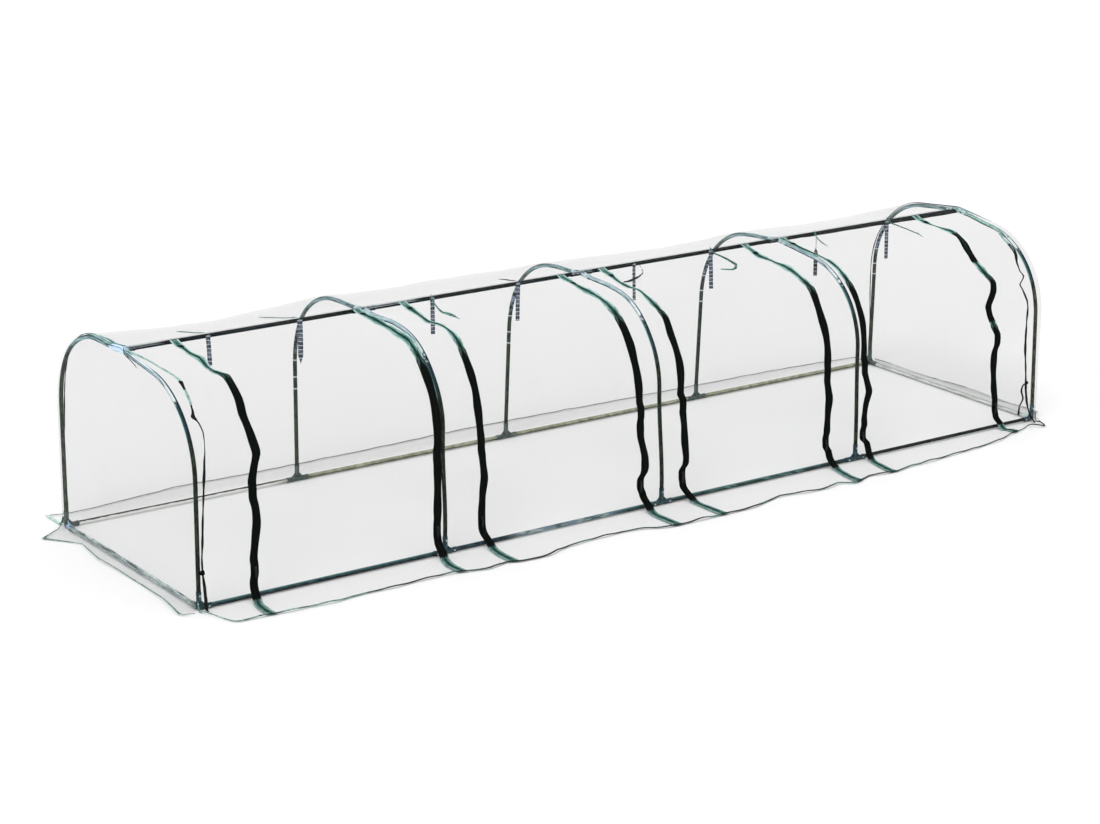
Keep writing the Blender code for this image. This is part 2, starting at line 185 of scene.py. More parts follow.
# Where each zip runs as it is seen: (distance down the cover, place along the tunnel).
ZIP_SEEN = [
    [(.03, -1.786), (.15, -1.783), (.20, -1.774), (.27, -1.785), (.315, -1.768), (.35, -1.745), (.455, -1.746), (.51, -1.754), (.605, -1.742), (.644, -1.734), (.687, -1.749), (.74, -1.759), (.795, -1.757), (.844, -1.745), (.892, -1.742), (1.03, -1.760), (1.17, -1.762), (1.24, -1.781), (1.30, -1.788)],
    [(.01, -1.031), (.105, -1.019), (.18, -1.017), (.27, -1.010), (.32, -.995), (.42, -.999), (.55, -1.002), (.8, -1.002), (1.1, -1.004), (1.168, -.994), (1.266, -1.02)],
    [(.047, -.834), (.121, -.841), (.208, -.846), (.263, -.822), (.31, -.811), (.376, -.811), (.449, -.819), (.575, -.821), (.633, -.824), (.701, -.820), (.834, -.808), (.905, -.800), (.965, -.808), (1.035, -.813), (1.106, -.810), (1.163, -.789), (1.267, -.803)],
    [(.072, -.115), (.159, -.121), (.236, -.116), (.297, -.108), (.366, -.103), (.506, -.107), (.574, -.110), (.708, -.103), (.879, -.095), (.952, -.072), (1.004, -.069), (1.053, -.083), (1.105, -.081), (1.161, -.063), (1.231, -.076), (1.322, -.074)],
    [(.063, .077), (.134, .061), (.2, .064), (.245, .083), (.316, .083), (.371, .088), (.433, .098), (.503, .089), (.615, .095), (.74, .090), (.864, .113), (.934, .118), (.996, .128), (1.056, .122), (1.106, .110), (1.163, .136), (1.257, .143)],
    [(.064, .780), (.136, .756), (.208, .764), (.276, .788), (.354, .801), (.429, .822), (.491, .813), (.557, .811), (.637, .817), (.797, .820), (.882, .839), (.963, .835), (1.044, .832), (1.112, .843), (1.189, .856), (1.293, .833)],
    [(.066, .981), (.148, .976), (.23, .991), (.285, 1.007), (.357, 1.013), (.488, 1.013), (.626, 1.008), (.771, 1.006), (.84, 1.030), (.884, 1.046), (.938, 1.030), (.995, 1.023), (1.063, 1.032), (1.132, 1.051), (1.219, 1.038), (1.314, 1.021)],
    [(.056, 1.698), (.131, 1.686), (.187, 1.691), (.246, 1.714), (.294, 1.710), (.372, 1.684), (.426, 1.679), (.493, 1.705), (.541, 1.738), (.578, 1.725), (.636, 1.678), (.678, 1.686), (.761, 1.735), (.787, 1.742), (.835, 1.724), (.902, 1.721), (.989, 1.729), (1.059, 1.743), (1.12, 1.750), (1.159, 1.776), (1.217, 1.782), (1.254, 1.798)],
]
# The seams that join the long sheets to the end panels: (distance down the cover, place along the tunnel).
SEAM_COURSE = {
    -1: [(.0, -1.972), (.059, -1.966), (.104, -1.954), (.157, -1.943), (.207, -1.939), (.246, -1.932), (.279, -1.923), (.311, -1.916), (.327, -1.915), (.364, -1.919), (.392, -1.921), (.423, -1.924), (.443, -1.927), (.466, -1.930), (.484, -1.938), (.494, -1.930), (.509, -1.922), (.542, -1.917), (.576, -1.922), (.61, -1.928), (.642, -1.936), (.703, -1.943), (.774, -1.947), (.845, -1.952), (.934, -1.956), (.987, -1.960), (1.042, -1.958), (1.091, -1.952), (1.135, -1.950), (1.18, -1.955)],
    1: [(.0, 1.945), (.286, 1.934), (.315, 1.926), (.349, 1.920), (.381, 1.923), (.416, 1.926), (.439, 1.922), (.475, 1.906), (.515, 1.902), (.539, 1.914), (.554, 1.899), (.571, 1.879), (.591, 1.888), (.617, 1.896), (.644, 1.905), (.671, 1.906), (.723, 1.900), (.787, 1.898), (.86, 1.900), (.939, 1.909), (1.027, 1.916), (1.081, 1.926), (1.138, 1.945), (1.18, 1.958)],
}
STEP = 0.004
S_GRID = np.arange(-0.02, 1.37, STEP)
SPLIT = 0.35   # share of a zip's wander that goes out of the film


def seen_to_real(x, s, slack=None):
    """A place as seen on the taut cover, moved to where it is on the slack film."""
    x, s = np.asarray(x, float), np.asarray(s, float)
    s = np.interp(s, [0, 1.10, 1.225, 1.34], [0, 1.10, S_FOOT, S_FOOT + 0.115])
    dn = sag(x, s) + swell(x, s, -1) if slack is None else slack
    bx, bn, bt = sight(x, s)
    return x + dn * bx / bn, np.maximum(s + dn * bt / bn, 0.0)


def sight(x, s):
    """The direction to the camera at a place on the front: its parts along the tunnel, out of the film and down the film."""
    y, z, ny, nz = section_at(s)
    to = np.stack([CAMERA_AT.x - x, CAMERA_AT.y + y, CAMERA_AT.z - z], -1)
    to = to / np.linalg.norm(to, axis=-1, keepdims=True)
    bn = -to[..., 1] * ny + to[..., 2] * nz
    bt = -to[..., 1] * nz - to[..., 2] * ny
    return to[..., 0], np.maximum(bn, 0.2), bt


def zip_courses():
    courses = []
    for k, (x0, seen) in enumerate(zip(ZIPS, ZIP_SEEN)):
        xs, ss = np.array([p[1] for p in seen]), np.array([p[0] for p in seen])
        xr, sr = seen_to_real(xs, ss)
        order = np.argsort(sr)
        off = np.interp(S_GRID, sr[order], xr[order] - x0)
        off = soften(off, STEP, 0.008)
        # the sliders run on a straight stretch of the tape
        for at in (S_ARC + CORNER_Z - SLIDER_Z, S_ARC + CORNER_Z - SLIDER_Z - TRAVEL):
            off = off * (1 - (0.98 if k == 4 else 0.85) * (1 - ease(0.014, 0.042, np.abs(S_GRID - at - 0.004))))
        bx, bn, _ = sight(np.full_like(S_GRID, x0), S_GRID)
        share = SPLIT * (1 - ease(1.0, 1.08, S_GRID))
        out = np.clip(-share * off * bn / bx, -0.02, 0.02)
        if k == 4:   # a hair further in where the raised slider stops
            out = out - 0.0038 * (1 - ease(0.018, 0.050, np.abs(S_GRID - (S_ARC + CORNER_Z - SLIDER_Z - TRAVEL))))
        courses.append(((1 - share) * off, out))
    return courses


COURSES = zip_courses()
TWIST = [(0.9, 0.150), (2.6, 0.170), (4.1, 0.140), (0.2, 0.160), (5.2, 0.145), (3.3, 0.155), (1.7, 0.150), (4.9, 0.135)]
ROLL = [-0.10, 0.16, -0.12, 0.00, -0.10, 0.00, -0.16, -0.14]   # of each zip's tapes on the roof
STOPS = [0.050, 0.046, 0.062, 0.092, 0.078, 0.085, 0.080, 0.072]   # how far down each zip's top stop is


def twist(k, s):
    """How far the zip's tapes roll out of the film's surface, as a slope."""
    phase, pitch = TWIST[k]
    roof = ease(0.03, 0.09, s) * (1 - ease(0.30, 0.44, s))
    wall = ease(0.40, 0.52, s) * (1 - ease(0.98, 1.05, s))
    wave = np.sin(2 * math.pi * s / pitch + phase)
    calm = 1.0
    for at in (S_ARC + CORNER_Z - SLIDER_Z, S_ARC + CORNER_Z - SLIDER_Z - TRAVEL):
        calm = calm * ease(0.02, 0.06, np.abs(s - at))
    return roof * (ROLL[k] + 0.22 * wave) + wall * 0.16 * wave * calm


def wander(x, s):
    """Sideways and outward shift of the front, which follows its eight zips."""
    dx, dn = np.zeros_like(x), np.zeros_like(x)
    for k, x0 in enumerate(ZIPS):
        near = np.exp(-((x - x0) / 0.11) ** 2)
        dx += near * np.interp(s, S_GRID, COURSES[k][0])
        dn += near * np.interp(s, S_GRID, COURSES[k][1])
        dn += twist(k, s) * (x - x0) * np.exp(-((x - x0) / 0.034) ** 2)
    return dx, dn


# Outlines of the skirts on the ground: how far each reaches.
FRONT_EDGE = [(-1.985, .545), (-1.964, .549), (-1.953, .60), (-1.946, .655), (-1.92, .687), (-1.858, .691), (-1.785, .694), (-1.70, .705), (-1.65, .701), (-1.58, .712), (-1.54, .713), (-1.48, .704), (-1.42, .699), (-1.35, .702), (-1.30, .706), (-1.212, .698), (-1.15, .700), (-1.09, .698), (-1.02, .709), (-.919, .735), (-.828, .714), (-.783, .736), (-.698, .741), (-.652, .740), (-.60, .716), (-.55, .702), (-.50, .699), (-.45, .691), (-.38, .691), (-.30, .686), (-.25, .691), (-.20, .701), (-.15, .729), (-.107, .740), (-.04, .742), (.05, .742), (.15, .742), (.24, .741), (.30, .739), (.35, .723), (.40, .708), (.45, .694), (.50, .699), (.56, .716), (.65, .722), (.70, .719), (.75, .700), (.80, .738), (.91, .697), (.978, .712), (1.042, .716), (1.13, .698), (1.20, .698), (1.25, .699), (1.30, .689), (1.40, .680), (1.508, .671), (1.60, .656), (1.66, .650), (1.746, .616), (1.809, .602), (1.85, .591), (1.887, .578), (1.908, .579), (1.921, .589), (1.932, .602), (1.951, .626), (1.985, .53)]
BACK_EDGE = [(-1.985, .676), (-1.964, .662), (-1.897, .640), (-1.615, .672), (-1.367, .699), (-1.314, .696), (-1.250, .688), (-1.109, .684), (-1.001, .683), (-.893, .681), (-.494, .688), (-.04, .701), (.704, .677), (1.461, .660), (1.735, .647), (1.985, .619)]
END_EDGE = {
    -1: [(-.545, 1.984), (-.535, 2.040), (-.515, 2.052), (-.357, 2.029), (-.183, 2.022), (-.023, 2.025), (.131, 2.033), (.313, 2.005), (.37, 2.045), (.442, 2.102), (.50, 2.010), (.53, 1.984)],
    1: [(-.545, 1.988), (-.495, 1.992), (-.452, 2.066), (-.374, 2.072), (-.300, 2.072), (-.242, 2.064), (-.10, 2.062), (.016, 2.056), (.204, 2.052), (.384, 2.039), (.543, 2.030)],
}


def edge_table(points, width):
    xs = np.arange(-2.0, 2.0, 0.004)
    return xs, soften(np.interp(xs, [p[0] for p in points], [p[1] for p in points]), 0.004, width)


EDGES = {-1: edge_table(FRONT_EDGE, 0.009), 1: edge_table(BACK_EDGE, 0.045)}


def place(x, s, h, side):
    """Points of the cover, or of something sewn to it, as an array (..., 3)."""
    x, s, h = np.broadcast_arrays(np.asarray(x, float), np.asarray(s, float), np.asarray(h, float))
    y, z, ny, nz = section_at(s)
    dn = sag(x, s, side) + ripple(x, s, side)
    dx = np.zeros_like(x)
    if side < 0:
        dx, out = wander(x, s)
        dn = dn + out
    # the film can't pass through a hoop, the ridge tube or a rail
    dn = np.maximum(dn, -0.0012 - 0.30 * np.maximum(0, hoop_gap(x + dx) - 0.012))
    dn = np.maximum(dn, -0.0010 - 0.25 * np.maximum(0, s - 0.015))
    dn = np.maximum(dn, -0.0012 - 0.20 * np.maximum(0, 1.10 - s)) + swell(x, s, side)
    x = x + dx
    xs, reach = EDGES[side]
    k = (np.interp(x, xs, reach) - WALL_Y) / (SKIRT_Y - WALL_Y)
    t = np.clip((s - S_FOOT) / (S_EDGE - S_FOOT), 0, 1.2)
    y = np.where(s > S_WALL, WALL_Y + (y - WALL_Y) * k, y)
    wave = 0.5 + 0.5 * np.sin(8.3 * x + (1.1 if side < 0 else 3.9)) * np.sin(19.0 * x + 0.4)
    lift = 0.0016 * ease(S_WALL, S_FOOT, s) + t ** 1.5 * (0.0015 + (0.0075 if side < 0 else 0.003) * wave * (0.6 + 0.4 * np.sin(47 * x)))
    z = z + lift
    return np.stack([x, side * (y + (dn + h) * ny), z + (dn + h) * nz], -1)


# ---- mesh makers --------------------------------------------------------
def add(name, verts, faces, mat, uvs=None, sharp=50):
    mesh = bpy.data.meshes.new(name)
    mesh.from_pydata([tuple(v) for v in np.asarray(verts, float)], [], [tuple(int(i) for i in f) for f in faces])
    mesh.update()
    if uvs is not None:
        layer = mesh.uv_layers.new(name="UVMap")
        index = np.zeros(len(mesh.loops), int)
        mesh.loops.foreach_get("vertex_index", index)
        layer.data.foreach_set("uv", np.asarray(uvs, np.float32)[index].ravel())
    mesh.shade_smooth()
    mesh.set_sharp_from_angle(angle=math.radians(sharp))
    mesh.materials.append(mat)
    obj = bpy.data.objects.new(name, mesh)
    bpy.context.scene.collection.objects.link(obj)
    return obj


def shell_parts(outer, inner):
    """Faces of a closed thin sheet from its two faces, each (n, m, 3)."""
    n, m = outer.shape[:2]
    index = np.arange(n * m).reshape(n, m)
    quads = np.stack([index[:-1, :-1], index[:-1, 1:], index[1:, 1:], index[1:, :-1]], -1).reshape(-1, 4)
    i, j = (n - 1) // 2, (m - 1) // 2
    a, b, c = outer[i, j], outer[i, j + 1], outer[i + 1, j]
    flip = np.dot(np.cross(b - a, c - a), outer[i, j] - inner[i, j]) < 0
    rims = []
    for loop in (index[0, :], index[:, -1], index[-1, ::-1], index[::-1, 0]):
        rims.append(np.stack([loop[1:], loop[:-1], loop[:-1] + n * m, loop[1:] + n * m], -1))
    faces = np.concatenate([quads, quads[:, ::-1] + n * m] + rims)
    if flip:
        faces = faces[:, ::-1]
    return np.concatenate([outer.reshape(-1, 3), inner.reshape(-1, 3)]), faces


def shell(name, outer, inner, mat, u, v, sharp=50):
    verts, faces = shell_parts(outer, inner)
    uv = np.stack([u, v], -1).reshape(-1, 2)
    return add(name, verts, faces, mat, np.concatenate([uv, uv]), sharp)


def merge(pieces):
    """Several (verts, faces, uvs) as one."""
    verts, faces, uvs, base = [], [], [], 0
    for v, f, t in pieces:
        verts.append(np.asarray(v, float))
        faces += [tuple(int(i) + base for i in q) for q in f]
        uvs.append(np.asarray(t, float))
        base += len(v)
    return np.concatenate(verts), faces, np.concatenate(uvs)


def cross_sections(points, radii, sides=20, turn=0.0):
    """A closed round bar swept along points, as (verts, faces, uvs)."""
    points = np.asarray(points, float)
    radii = np.broadcast_to(np.asarray(radii, float), (len(points),))
    tangents = np.gradient(points, axis=0)
    tangents /= np.linalg.norm(tangents, axis=1, keepdims=True)
    side = np.cross(tangents[0], [0.0, 0.0, 1.0] if abs(tangents[0][2]) < 0.8 else [1.0, 0.0, 0.0])
    side /= np.linalg.norm(side)
    rings, run, uvs = [], 0.0, []
    for i, (p, t, r) in enumerate(zip(points, tangents, radii)):
        side = side - t * np.dot(side, t)
        side /= np.linalg.norm(side)
        other = np.cross(t, side)
        a = np.arange(sides) / sides * 2 * math.pi + turn
        rings.append(p + r * (np.cos(a)[:, None] * side + np.sin(a)[:, None] * other))
        run += np.linalg.norm(points[i] - points[i - 1]) if i else 0.0
        uvs.append(np.stack([a / (2 * math.pi) * 0.05, np.full(sides, run)], -1))
    faces = []
    for i in range(len(points) - 1):
        for j in range(sides):
            k = (j + 1) % sides
            faces.append((i * sides + j, i * sides + k, (i + 1) * sides + k, (i + 1) * sides + j))
    faces.append(tuple(range(sides))[::-1])
    faces.append(tuple((len(points) - 1) * sides + j for j in range(sides)))
    return np.concatenate(rings), faces, np.concatenate(uvs)


def smooth_line(points, count):
    """Points along a smooth curve through the given ones, evenly spaced."""
    p = np.asarray(points, float)
    p = np.vstack([2 * p[0] - p[1], p, 2 * p[-1] - p[-2]])
    out = []
    for i in range(1, len(p) - 2):
        t = np.linspace(0, 1, 24, endpoint=False)[:, None]
        a, b, c, d = p[i - 1], p[i], p[i + 1], p[i + 2]
        out.append(0.5 * (2 * b + (c - a) * t + (2 * a - 5 * b + 4 * c - d) * t ** 2 + (3 * b - a - 3 * c + d) * t ** 3))
    out.append(p[-2][None, :])
    line = np.concatenate(out)
    run = np.concatenate([[0], np.cumsum(np.linalg.norm(np.diff(line, axis=0), axis=1))])
    at = np.linspace(0, run[-1], count)
    return np.stack([np.interp(at, run, line[:, k]) for k in range(line.shape[1])], -1)


# ---- materials ----------------------------------------------------------
class Paint:
    """A Principled material with a few shorthand node makers."""

    def __init__(self, name, roughness=0.5, metallic=0.0, specular=0.5):
        self.m = bpy.data.materials.new(name)
        self.m.use_nodes = True
        self.tree = self.m.node_tree
        self.out = self.tree.nodes["Principled BSDF"]
        self.out.inputs["Roughness"].default_value = roughness
        self.out.inputs["Metallic"].default_value = metallic
        self.out.inputs["Specular IOR Level"].default_value = specular
        self.coords = self.tree.nodes.new("ShaderNodeTexCoord")

    def link(self, a, b):
        self.tree.links.new(a, b)

    def feed(self, socket, value):
        if isinstance(value, bpy.types.NodeSocket):
            self.link(value, socket)
        else:
            socket.default_value = value

    def math(self, op, a, b=0.0, c=None, clamp=False):
        n = self.tree.nodes.new("ShaderNodeMath")
        n.operation, n.use_clamp = op, clamp
        self.feed(n.inputs[0], a)
        self.feed(n.inputs[1], b)
        if c is not None:
            self.feed(n.inputs[2], c)
        return n.outputs[0]

    def mix(self, a, b, share):
        n = self.tree.nodes.new("ShaderNodeMix")
        n.data_type = "RGBA"
        self.feed(n.inputs["Factor"], share)
        self.feed(n.inputs[6], a if isinstance(a, bpy.types.NodeSocket) else (*a, 1.0))
        self.feed(n.inputs[7], b if isinstance(b, bpy.types.NodeSocket) else (*b, 1.0))
        return n.outputs[2]

    def noise(self, scale, detail=2.0, roughness=0.5, where="Object", distortion=0.0, stretch=None):
        n = self.tree.nodes.new("ShaderNodeTexNoise")
        n.inputs["Scale"].default_value = scale
        n.inputs["Detail"].default_value = detail
        n.inputs["Roughness"].default_value = roughness
        n.inputs["Distortion"].default_value = distortion
        source = self.coords.outputs[where]
        if stretch is not None:
            mapping = self.tree.nodes.new("ShaderNodeMapping")
            mapping.inputs["Scale"].default_value = stretch
            self.link(source, mapping.inputs["Vector"])
            source = mapping.outputs["Vector"]
        self.link(source, n.inputs["Vector"])
        return n.outputs["Fac"]

    def steps(self, value, low, high):
        """0 below low, 1 above high, smooth between."""
        n = self.tree.nodes.new("ShaderNodeMapRange")
        n.interpolation_type = "SMOOTHSTEP"
        self.feed(n.inputs["Value"], value)
        n.inputs["From Min"].default_value = low
        n.inputs["From Max"].default_value = high
        return n.outputs["Result"]

    def split(self, where="Object"):
        n = self.tree.nodes.new("ShaderNodeSeparateXYZ")
        self.link(self.coords.outputs[where], n.inputs[0])
        return n.outputs[0], n.outputs[1], n.outputs[2]

    def band(self, value, pitch, share, soft=0.1):
        """1 on a stripe that takes a share of each pitch."""
        turn = self.math("FRACT", self.math("DIVIDE", value, pitch))
        from_middle = self.math("ABSOLUTE", self.math("SUBTRACT", turn, 0.5))
        return self.math("SUBTRACT", 1.0, self.steps(from_middle, max(0.0, share / 2 - soft / 2), share / 2 + soft / 2))

    def bump(self, height, strength, distance):
        n = self.tree.nodes.new("ShaderNodeBump")
        n.inputs["Strength"].default_value = strength
        n.inputs["Distance"].default_value = distance
        self.link(height, n.inputs["Height"])
        self.link(n.outputs["Normal"], self.out.inputs["Normal"])

    def colour(self, value):
        self.feed(self.out.inputs["Base Color"], value if isinstance(value, bpy.types.NodeSocket) else (*value, 1.0))


def film_material(name, alpha, tint, ground=1.0, low=1.0, high=1.0):
    """Clear film: a faint grey cast, cloudy patches and the ghost of its packing folds."""
    p = Paint(name, 0.22, 0.0, 0.5)
    p.colour(tint)
    cloud = p.noise(2.1, 3.0, 0.55, "UV")
    small = p.noise(16.0, 2.0, 0.5, "UV", 0.6)
    u, v, _ = p.split("UV")
    fold_u = p.band(p.math("ADD", u, p.math("MULTIPLY", cloud, 0.012)), 0.33, 0.010, 0.012)
    fold_v = p.band(p.math("ADD", v, p.math("MULTIPLY", cloud, 0.012)), 0.29, 0.010, 0.012)
    folds = p.math("MULTIPLY", p.math("MAXIMUM", fold_u, fold_v), p.steps(small, 0.42, 0.62))
    a = p.math("ADD", alpha * 0.90, p.math("MULTIPLY", cloud, alpha * 0.2))
    a = p.math("ADD", a, p.math("MULTIPLY", folds, alpha * 0.30))
    a = p.math("MULTIPLY", a, p.math("ADD", 1.0, p.math("MULTIPLY", p.steps(v, 2.12, 2.18), ground - 1.0)))
    a = p.math("MULTIPLY", a, p.math("ADD", 1.0, p.math("MULTIPLY", p.steps(v, 1.70, 1.86), low - 1.0)))
    if high != 1.0:   # the roof, where the film is doubled by its own haze
        a = p.math("MULTIPLY", a, p.math("ADD", high, p.math("MULTIPLY", p.steps(v, 1.40, 1.52), 1.0 - high)))
    p.link(a, p.out.inputs["Alpha"])
    p.link(p.math("ADD", 0.14, p.math("MULTIPLY", small, 0.18)), p.out.inputs["Roughness"])
    p.bump(p.math("ADD", p.math("MULTIPLY", cloud, 1.0), p.math("MULTIPLY", small, 0.25)), 0.25, 0.01)
    return p.m


# Zip tape tones: TEAL is a painted sheen of the sky where the tape lies on the roof or the ground, TEAL_LIGHT its
# painted highlights and TEAL_DARK its darker threads.
TEAL_DARK, TEAL, TEAL_LIGHT = (0.008, 0.038, 0.034), (0.080, 0.235, 0.205), (0.47, 0.66, 0.62)
INK = (0.0022, 0.0032, 0.0024)


def tape_material():
    """Woven zip tape: near black where it stands upright; where it lies on the roof or the ground, a painted teal sheen
    of the sky with painted pale highlights along its edges and in streaks.
    """
    p = Paint("zip_tape_weave", 0.9, 0.0, 0.05)
    u, v, _ = p.split("UV")
    patch = p.noise(9.0, 2.0, 0.5, "UV", stretch=(3.0, 1.0, 1.0))
    fleck = p.noise(420.0, 2.0, 0.6, "UV")
    along = p.noise(34.0, 3.0, 0.6, "UV", stretch=(7.0, 1.0, 1.0))
    fine = p.noise(90.0, 2.0, 0.6, "UV", stretch=(6.0, 1.0, 1.0))
    shifted = p.math("ADD", v, p.math("MULTIPLY", p.math("SUBTRACT", patch, 0.5), 0.22))
    shifted = p.math("ADD", shifted, p.math("MULTIPLY", p.math("SUBTRACT", along, 0.5), 0.16))
    # Where the tape lies on the roof or the ground its colour is the painted teal sheen.
    roof = p.math("SUBTRACT", 1.0, p.steps(shifted, 0.325, 0.385))
    ground = p.steps(p.math("ADD", v, p.math("MULTIPLY", p.math("SUBTRACT", along, 0.5), 0.03)), 1.170, 1.192)
    lying = p.math("MAXIMUM", roof, ground)
    rib = p.band(u, 0.0016, 0.5, 0.4)
    pick = p.band(v, 0.0011, 0.5, 0.4)
    weave = p.math("ADD", p.math("MULTIPLY", rib, 0.6), p.math("MULTIPLY", pick, 0.4))
    rim = p.steps(p.math("ADD", u, p.math("MULTIPLY", p.math("SUBTRACT", along, 0.5), 0.010)), TAPE_W - 0.0068, TAPE_W - 0.0050)
    core = p.math("SUBTRACT", 1.0, p.steps(p.math("ADD", u, p.math("MULTIPLY", p.math("SUBTRACT", fine, 0.5), 0.006)), 0.0024, 0.0042))
    streak = p.steps(p.math("ADD", along, p.math("MULTIPLY", fleck, 0.15)), 0.50, 0.66)
    teal = p.mix(TEAL, TEAL_DARK, p.math("MULTIPLY", streak, 0.65))
    thread = p.noise(11.0, 2.0, 0.6, "UV", stretch=(34.0, 1.0, 1.0))
    teal = p.mix(teal, TEAL_DARK, p.math("MULTIPLY", p.math("MAXIMUM", core, p.steps(thread, 0.55, 0.60)), 0.75))
    # The pale streaks and the pale rim below are painted highlights.
    highlight_streak = p.noise(26.0, 2.0, 0.55, "UV", stretch=(30.0, 1.0, 1.0))
    teal = p.mix(teal, TEAL_LIGHT, p.math("MULTIPLY", p.math("MAXIMUM", rim, p.math("MULTIPLY", p.steps(highlight_streak, 0.56, 0.62), 0.8)), p.steps(p.math("ADD", fine, p.math("MULTIPLY", p.math("SUBTRACT", highlight_streak, 0.5), 0.8)), 0.36, 0.50)))
    teal = p.mix(teal, (0.012, 0.030, 0.028), p.steps(p.math("ADD", v, p.math("MULTIPLY", fine, 0.004)), S_EDGE - 0.009, S_EDGE - 0.004))
    teal = p.mix(teal, TEAL_DARK, p.math("MULTIPLY", ground, 0.35))
    dark = p.mix(INK, (0.0075, 0.0120, 0.0100), p.math("MULTIPLY", weave, p.steps(fleck, 0.4, 0.7)))
    dark = p.mix(dark, (0.020, 0.036, 0.033), p.math("MULTIPLY", p.steps(u, TAPE_W - 0.0012, TAPE_W - 0.0004), 0.6))
    p.colour(p.mix(dark, teal, lying))
    p.bump(weave, 0.5, 0.0006)
    return p.m


def chain_material():
    p = Paint("zip_teeth_moulded", 0.6, 0.0, 0.06)
    u, v, _ = p.split("UV")
    fleck = p.noise(900.0, 2.0, 0.5)
    # On the roof and the ground the teeth take a painted teal sheen, as the tape does.
    roof = p.math("MAXIMUM", p.math("SUBTRACT", 1.0, p.steps(v, 0.30, 0.42)), p.steps(v, 1.17, 1.19))
    p.colour(p.mix(p.mix((0.0026, 0.0040, 0.0032), (0.0070, 0.0100, 0.0090), fleck), p.mix((0.008, 0.026, 0.024), (0.020, 0.075, 0.068), fleck), p.math("MULTIPLY", roof, 0.8)))
    p.bump(fleck, 0.2, 0.0002)
    return p.m


def tube_material(name, dark, light, crown, glint, speck, bars=False):
    """Powder-coated steel: mottled, with finer speckle; on the crown, long pale streaks of painted sky reflection."""
    p = Paint(name, 0.48, 0.1, 0.10)
    x, y, z = p.split()
    mottle = p.noise(60.0, 3.0, 0.6)
    fine = p.noise(700.0, 2.0, 0.6)
    streak = p.noise(9.0, 3.0, 0.6, "UV", 0.2, stretch=(24.0, 1.0, 1.0))
    share = p.steps(p.math("ADD", p.math("MULTIPLY", mottle, 0.7), p.math("MULTIPLY", fine, 0.3)), 0.40, 0.64)
    body = p.mix(dark, light, p.math("MULTIPLY", share, speck))
    body = p.mix(body, dark, p.math("MULTIPLY", p.steps(streak, 0.52, 0.64), 0.7))
    # The crown's painted sky reflection: pale streaks between darker ones.
    top = p.mix(crown, glint, p.steps(streak, 0.50, 0.60))
    top = p.mix(top, dark, p.math("SUBTRACT", 1.0, p.steps(streak, 0.40, 0.47)))
    u, v, _ = p.split("UV")
    at = p.math("ADD", z, p.math("MULTIPLY", p.math("SUBTRACT", mottle, 0.5), 0.10))
    if bars:
        # The back tubes' crown takes the painted sky reflection.
        body = p.mix(body, top, p.steps(at, 0.66, 0.77))
    else:
        # the arch's shoulder: a painted highlight of sky along its near side, painted shade in deep blue-green on the
        # far one; the crown a pale painted reflection between painted dark edges
        line = p.noise(9.0, 2.0, 0.6, "UV", 0.1, stretch=(26.0, 1.0, 1.0))
        shine = p.math("MULTIPLY", p.steps(u, 0.0080, 0.0095), p.math("SUBTRACT", 1.0, p.steps(u, 0.0135, 0.0155)))
        shoulder = p.mix((0.018, 0.070, 0.070), (0.006, 0.018, 0.034), p.steps(u, 0.0185, 0.0225))
        shoulder = p.mix(shoulder, (0.24, 0.44, 0.44), p.math("MULTIPLY", shine, 0.9))
        edges = p.math("MAXIMUM", p.math("SUBTRACT", 1.0, p.steps(u, 0.0108, 0.0126)), p.steps(u, 0.0232, 0.0250))
        arch = p.mix(crown, glint, p.steps(line, 0.44, 0.52))
        arch = p.mix(arch, (0.05, 0.13, 0.14), p.steps(line, 0.56, 0.60))
        arch = p.mix(arch, (0.016, 0.055, 0.060), edges)
        # between the two, a painted reflection of the white sky
        bright = p.mix((0.78, 0.86, 0.90), (0.10, 0.24, 0.26), p.steps(line, 0.55, 0.60))
        bright = p.mix(bright, (0.012, 0.040, 0.048), edges)
        body = p.mix(body, shoulder, p.steps(at, 0.56, 0.64))
        body = p.mix(body, bright, p.steps(at, 0.705, 0.730))
        body = p.mix(body, arch, p.steps(at, 0.750, 0.775))
    if bars:
        # a painted sky-blue reflection in patches on a stretch below the ridge, and pale rings round the tube there
        inner = p.steps(x, -1.8, -1.7)
        low = p.math("MULTIPLY", p.steps(z, 0.50, 0.56), p.math("SUBTRACT", 1.0, p.steps(z, 0.64, 0.70)))
        body = p.mix(body, (0.26, 0.33, 0.46), p.math("MULTIPLY", p.math("MULTIPLY", low, inner), p.math("MULTIPLY", p.steps(mottle, 0.45, 0.56), 0.8)))
        turned = p.math("ADD", z, p.math("MULTIPLY", p.math("SINE", p.math("MULTIPLY", x, 5.0)), 0.030))
        ring = p.math("MAXIMUM", p.math("COMPARE", turned, 0.405, 0.0022), p.math("MAXIMUM", p.math("COMPARE", turned, 0.452, 0.0022), p.math("COMPARE", turned, 0.520, 0.0020)))
        body = p.mix(body, (0.70, 0.76, 0.84), p.math("MULTIPLY", p.math("MULTIPLY", ring, inner), 0.85))
    p.colour(body)
    p.link(p.math("ADD", 0.38, p.math("MULTIPLY", fine, 0.22)), p.out.inputs["Roughness"])
    p.bump(fine, 0.25, 0.0003)
    return p.m


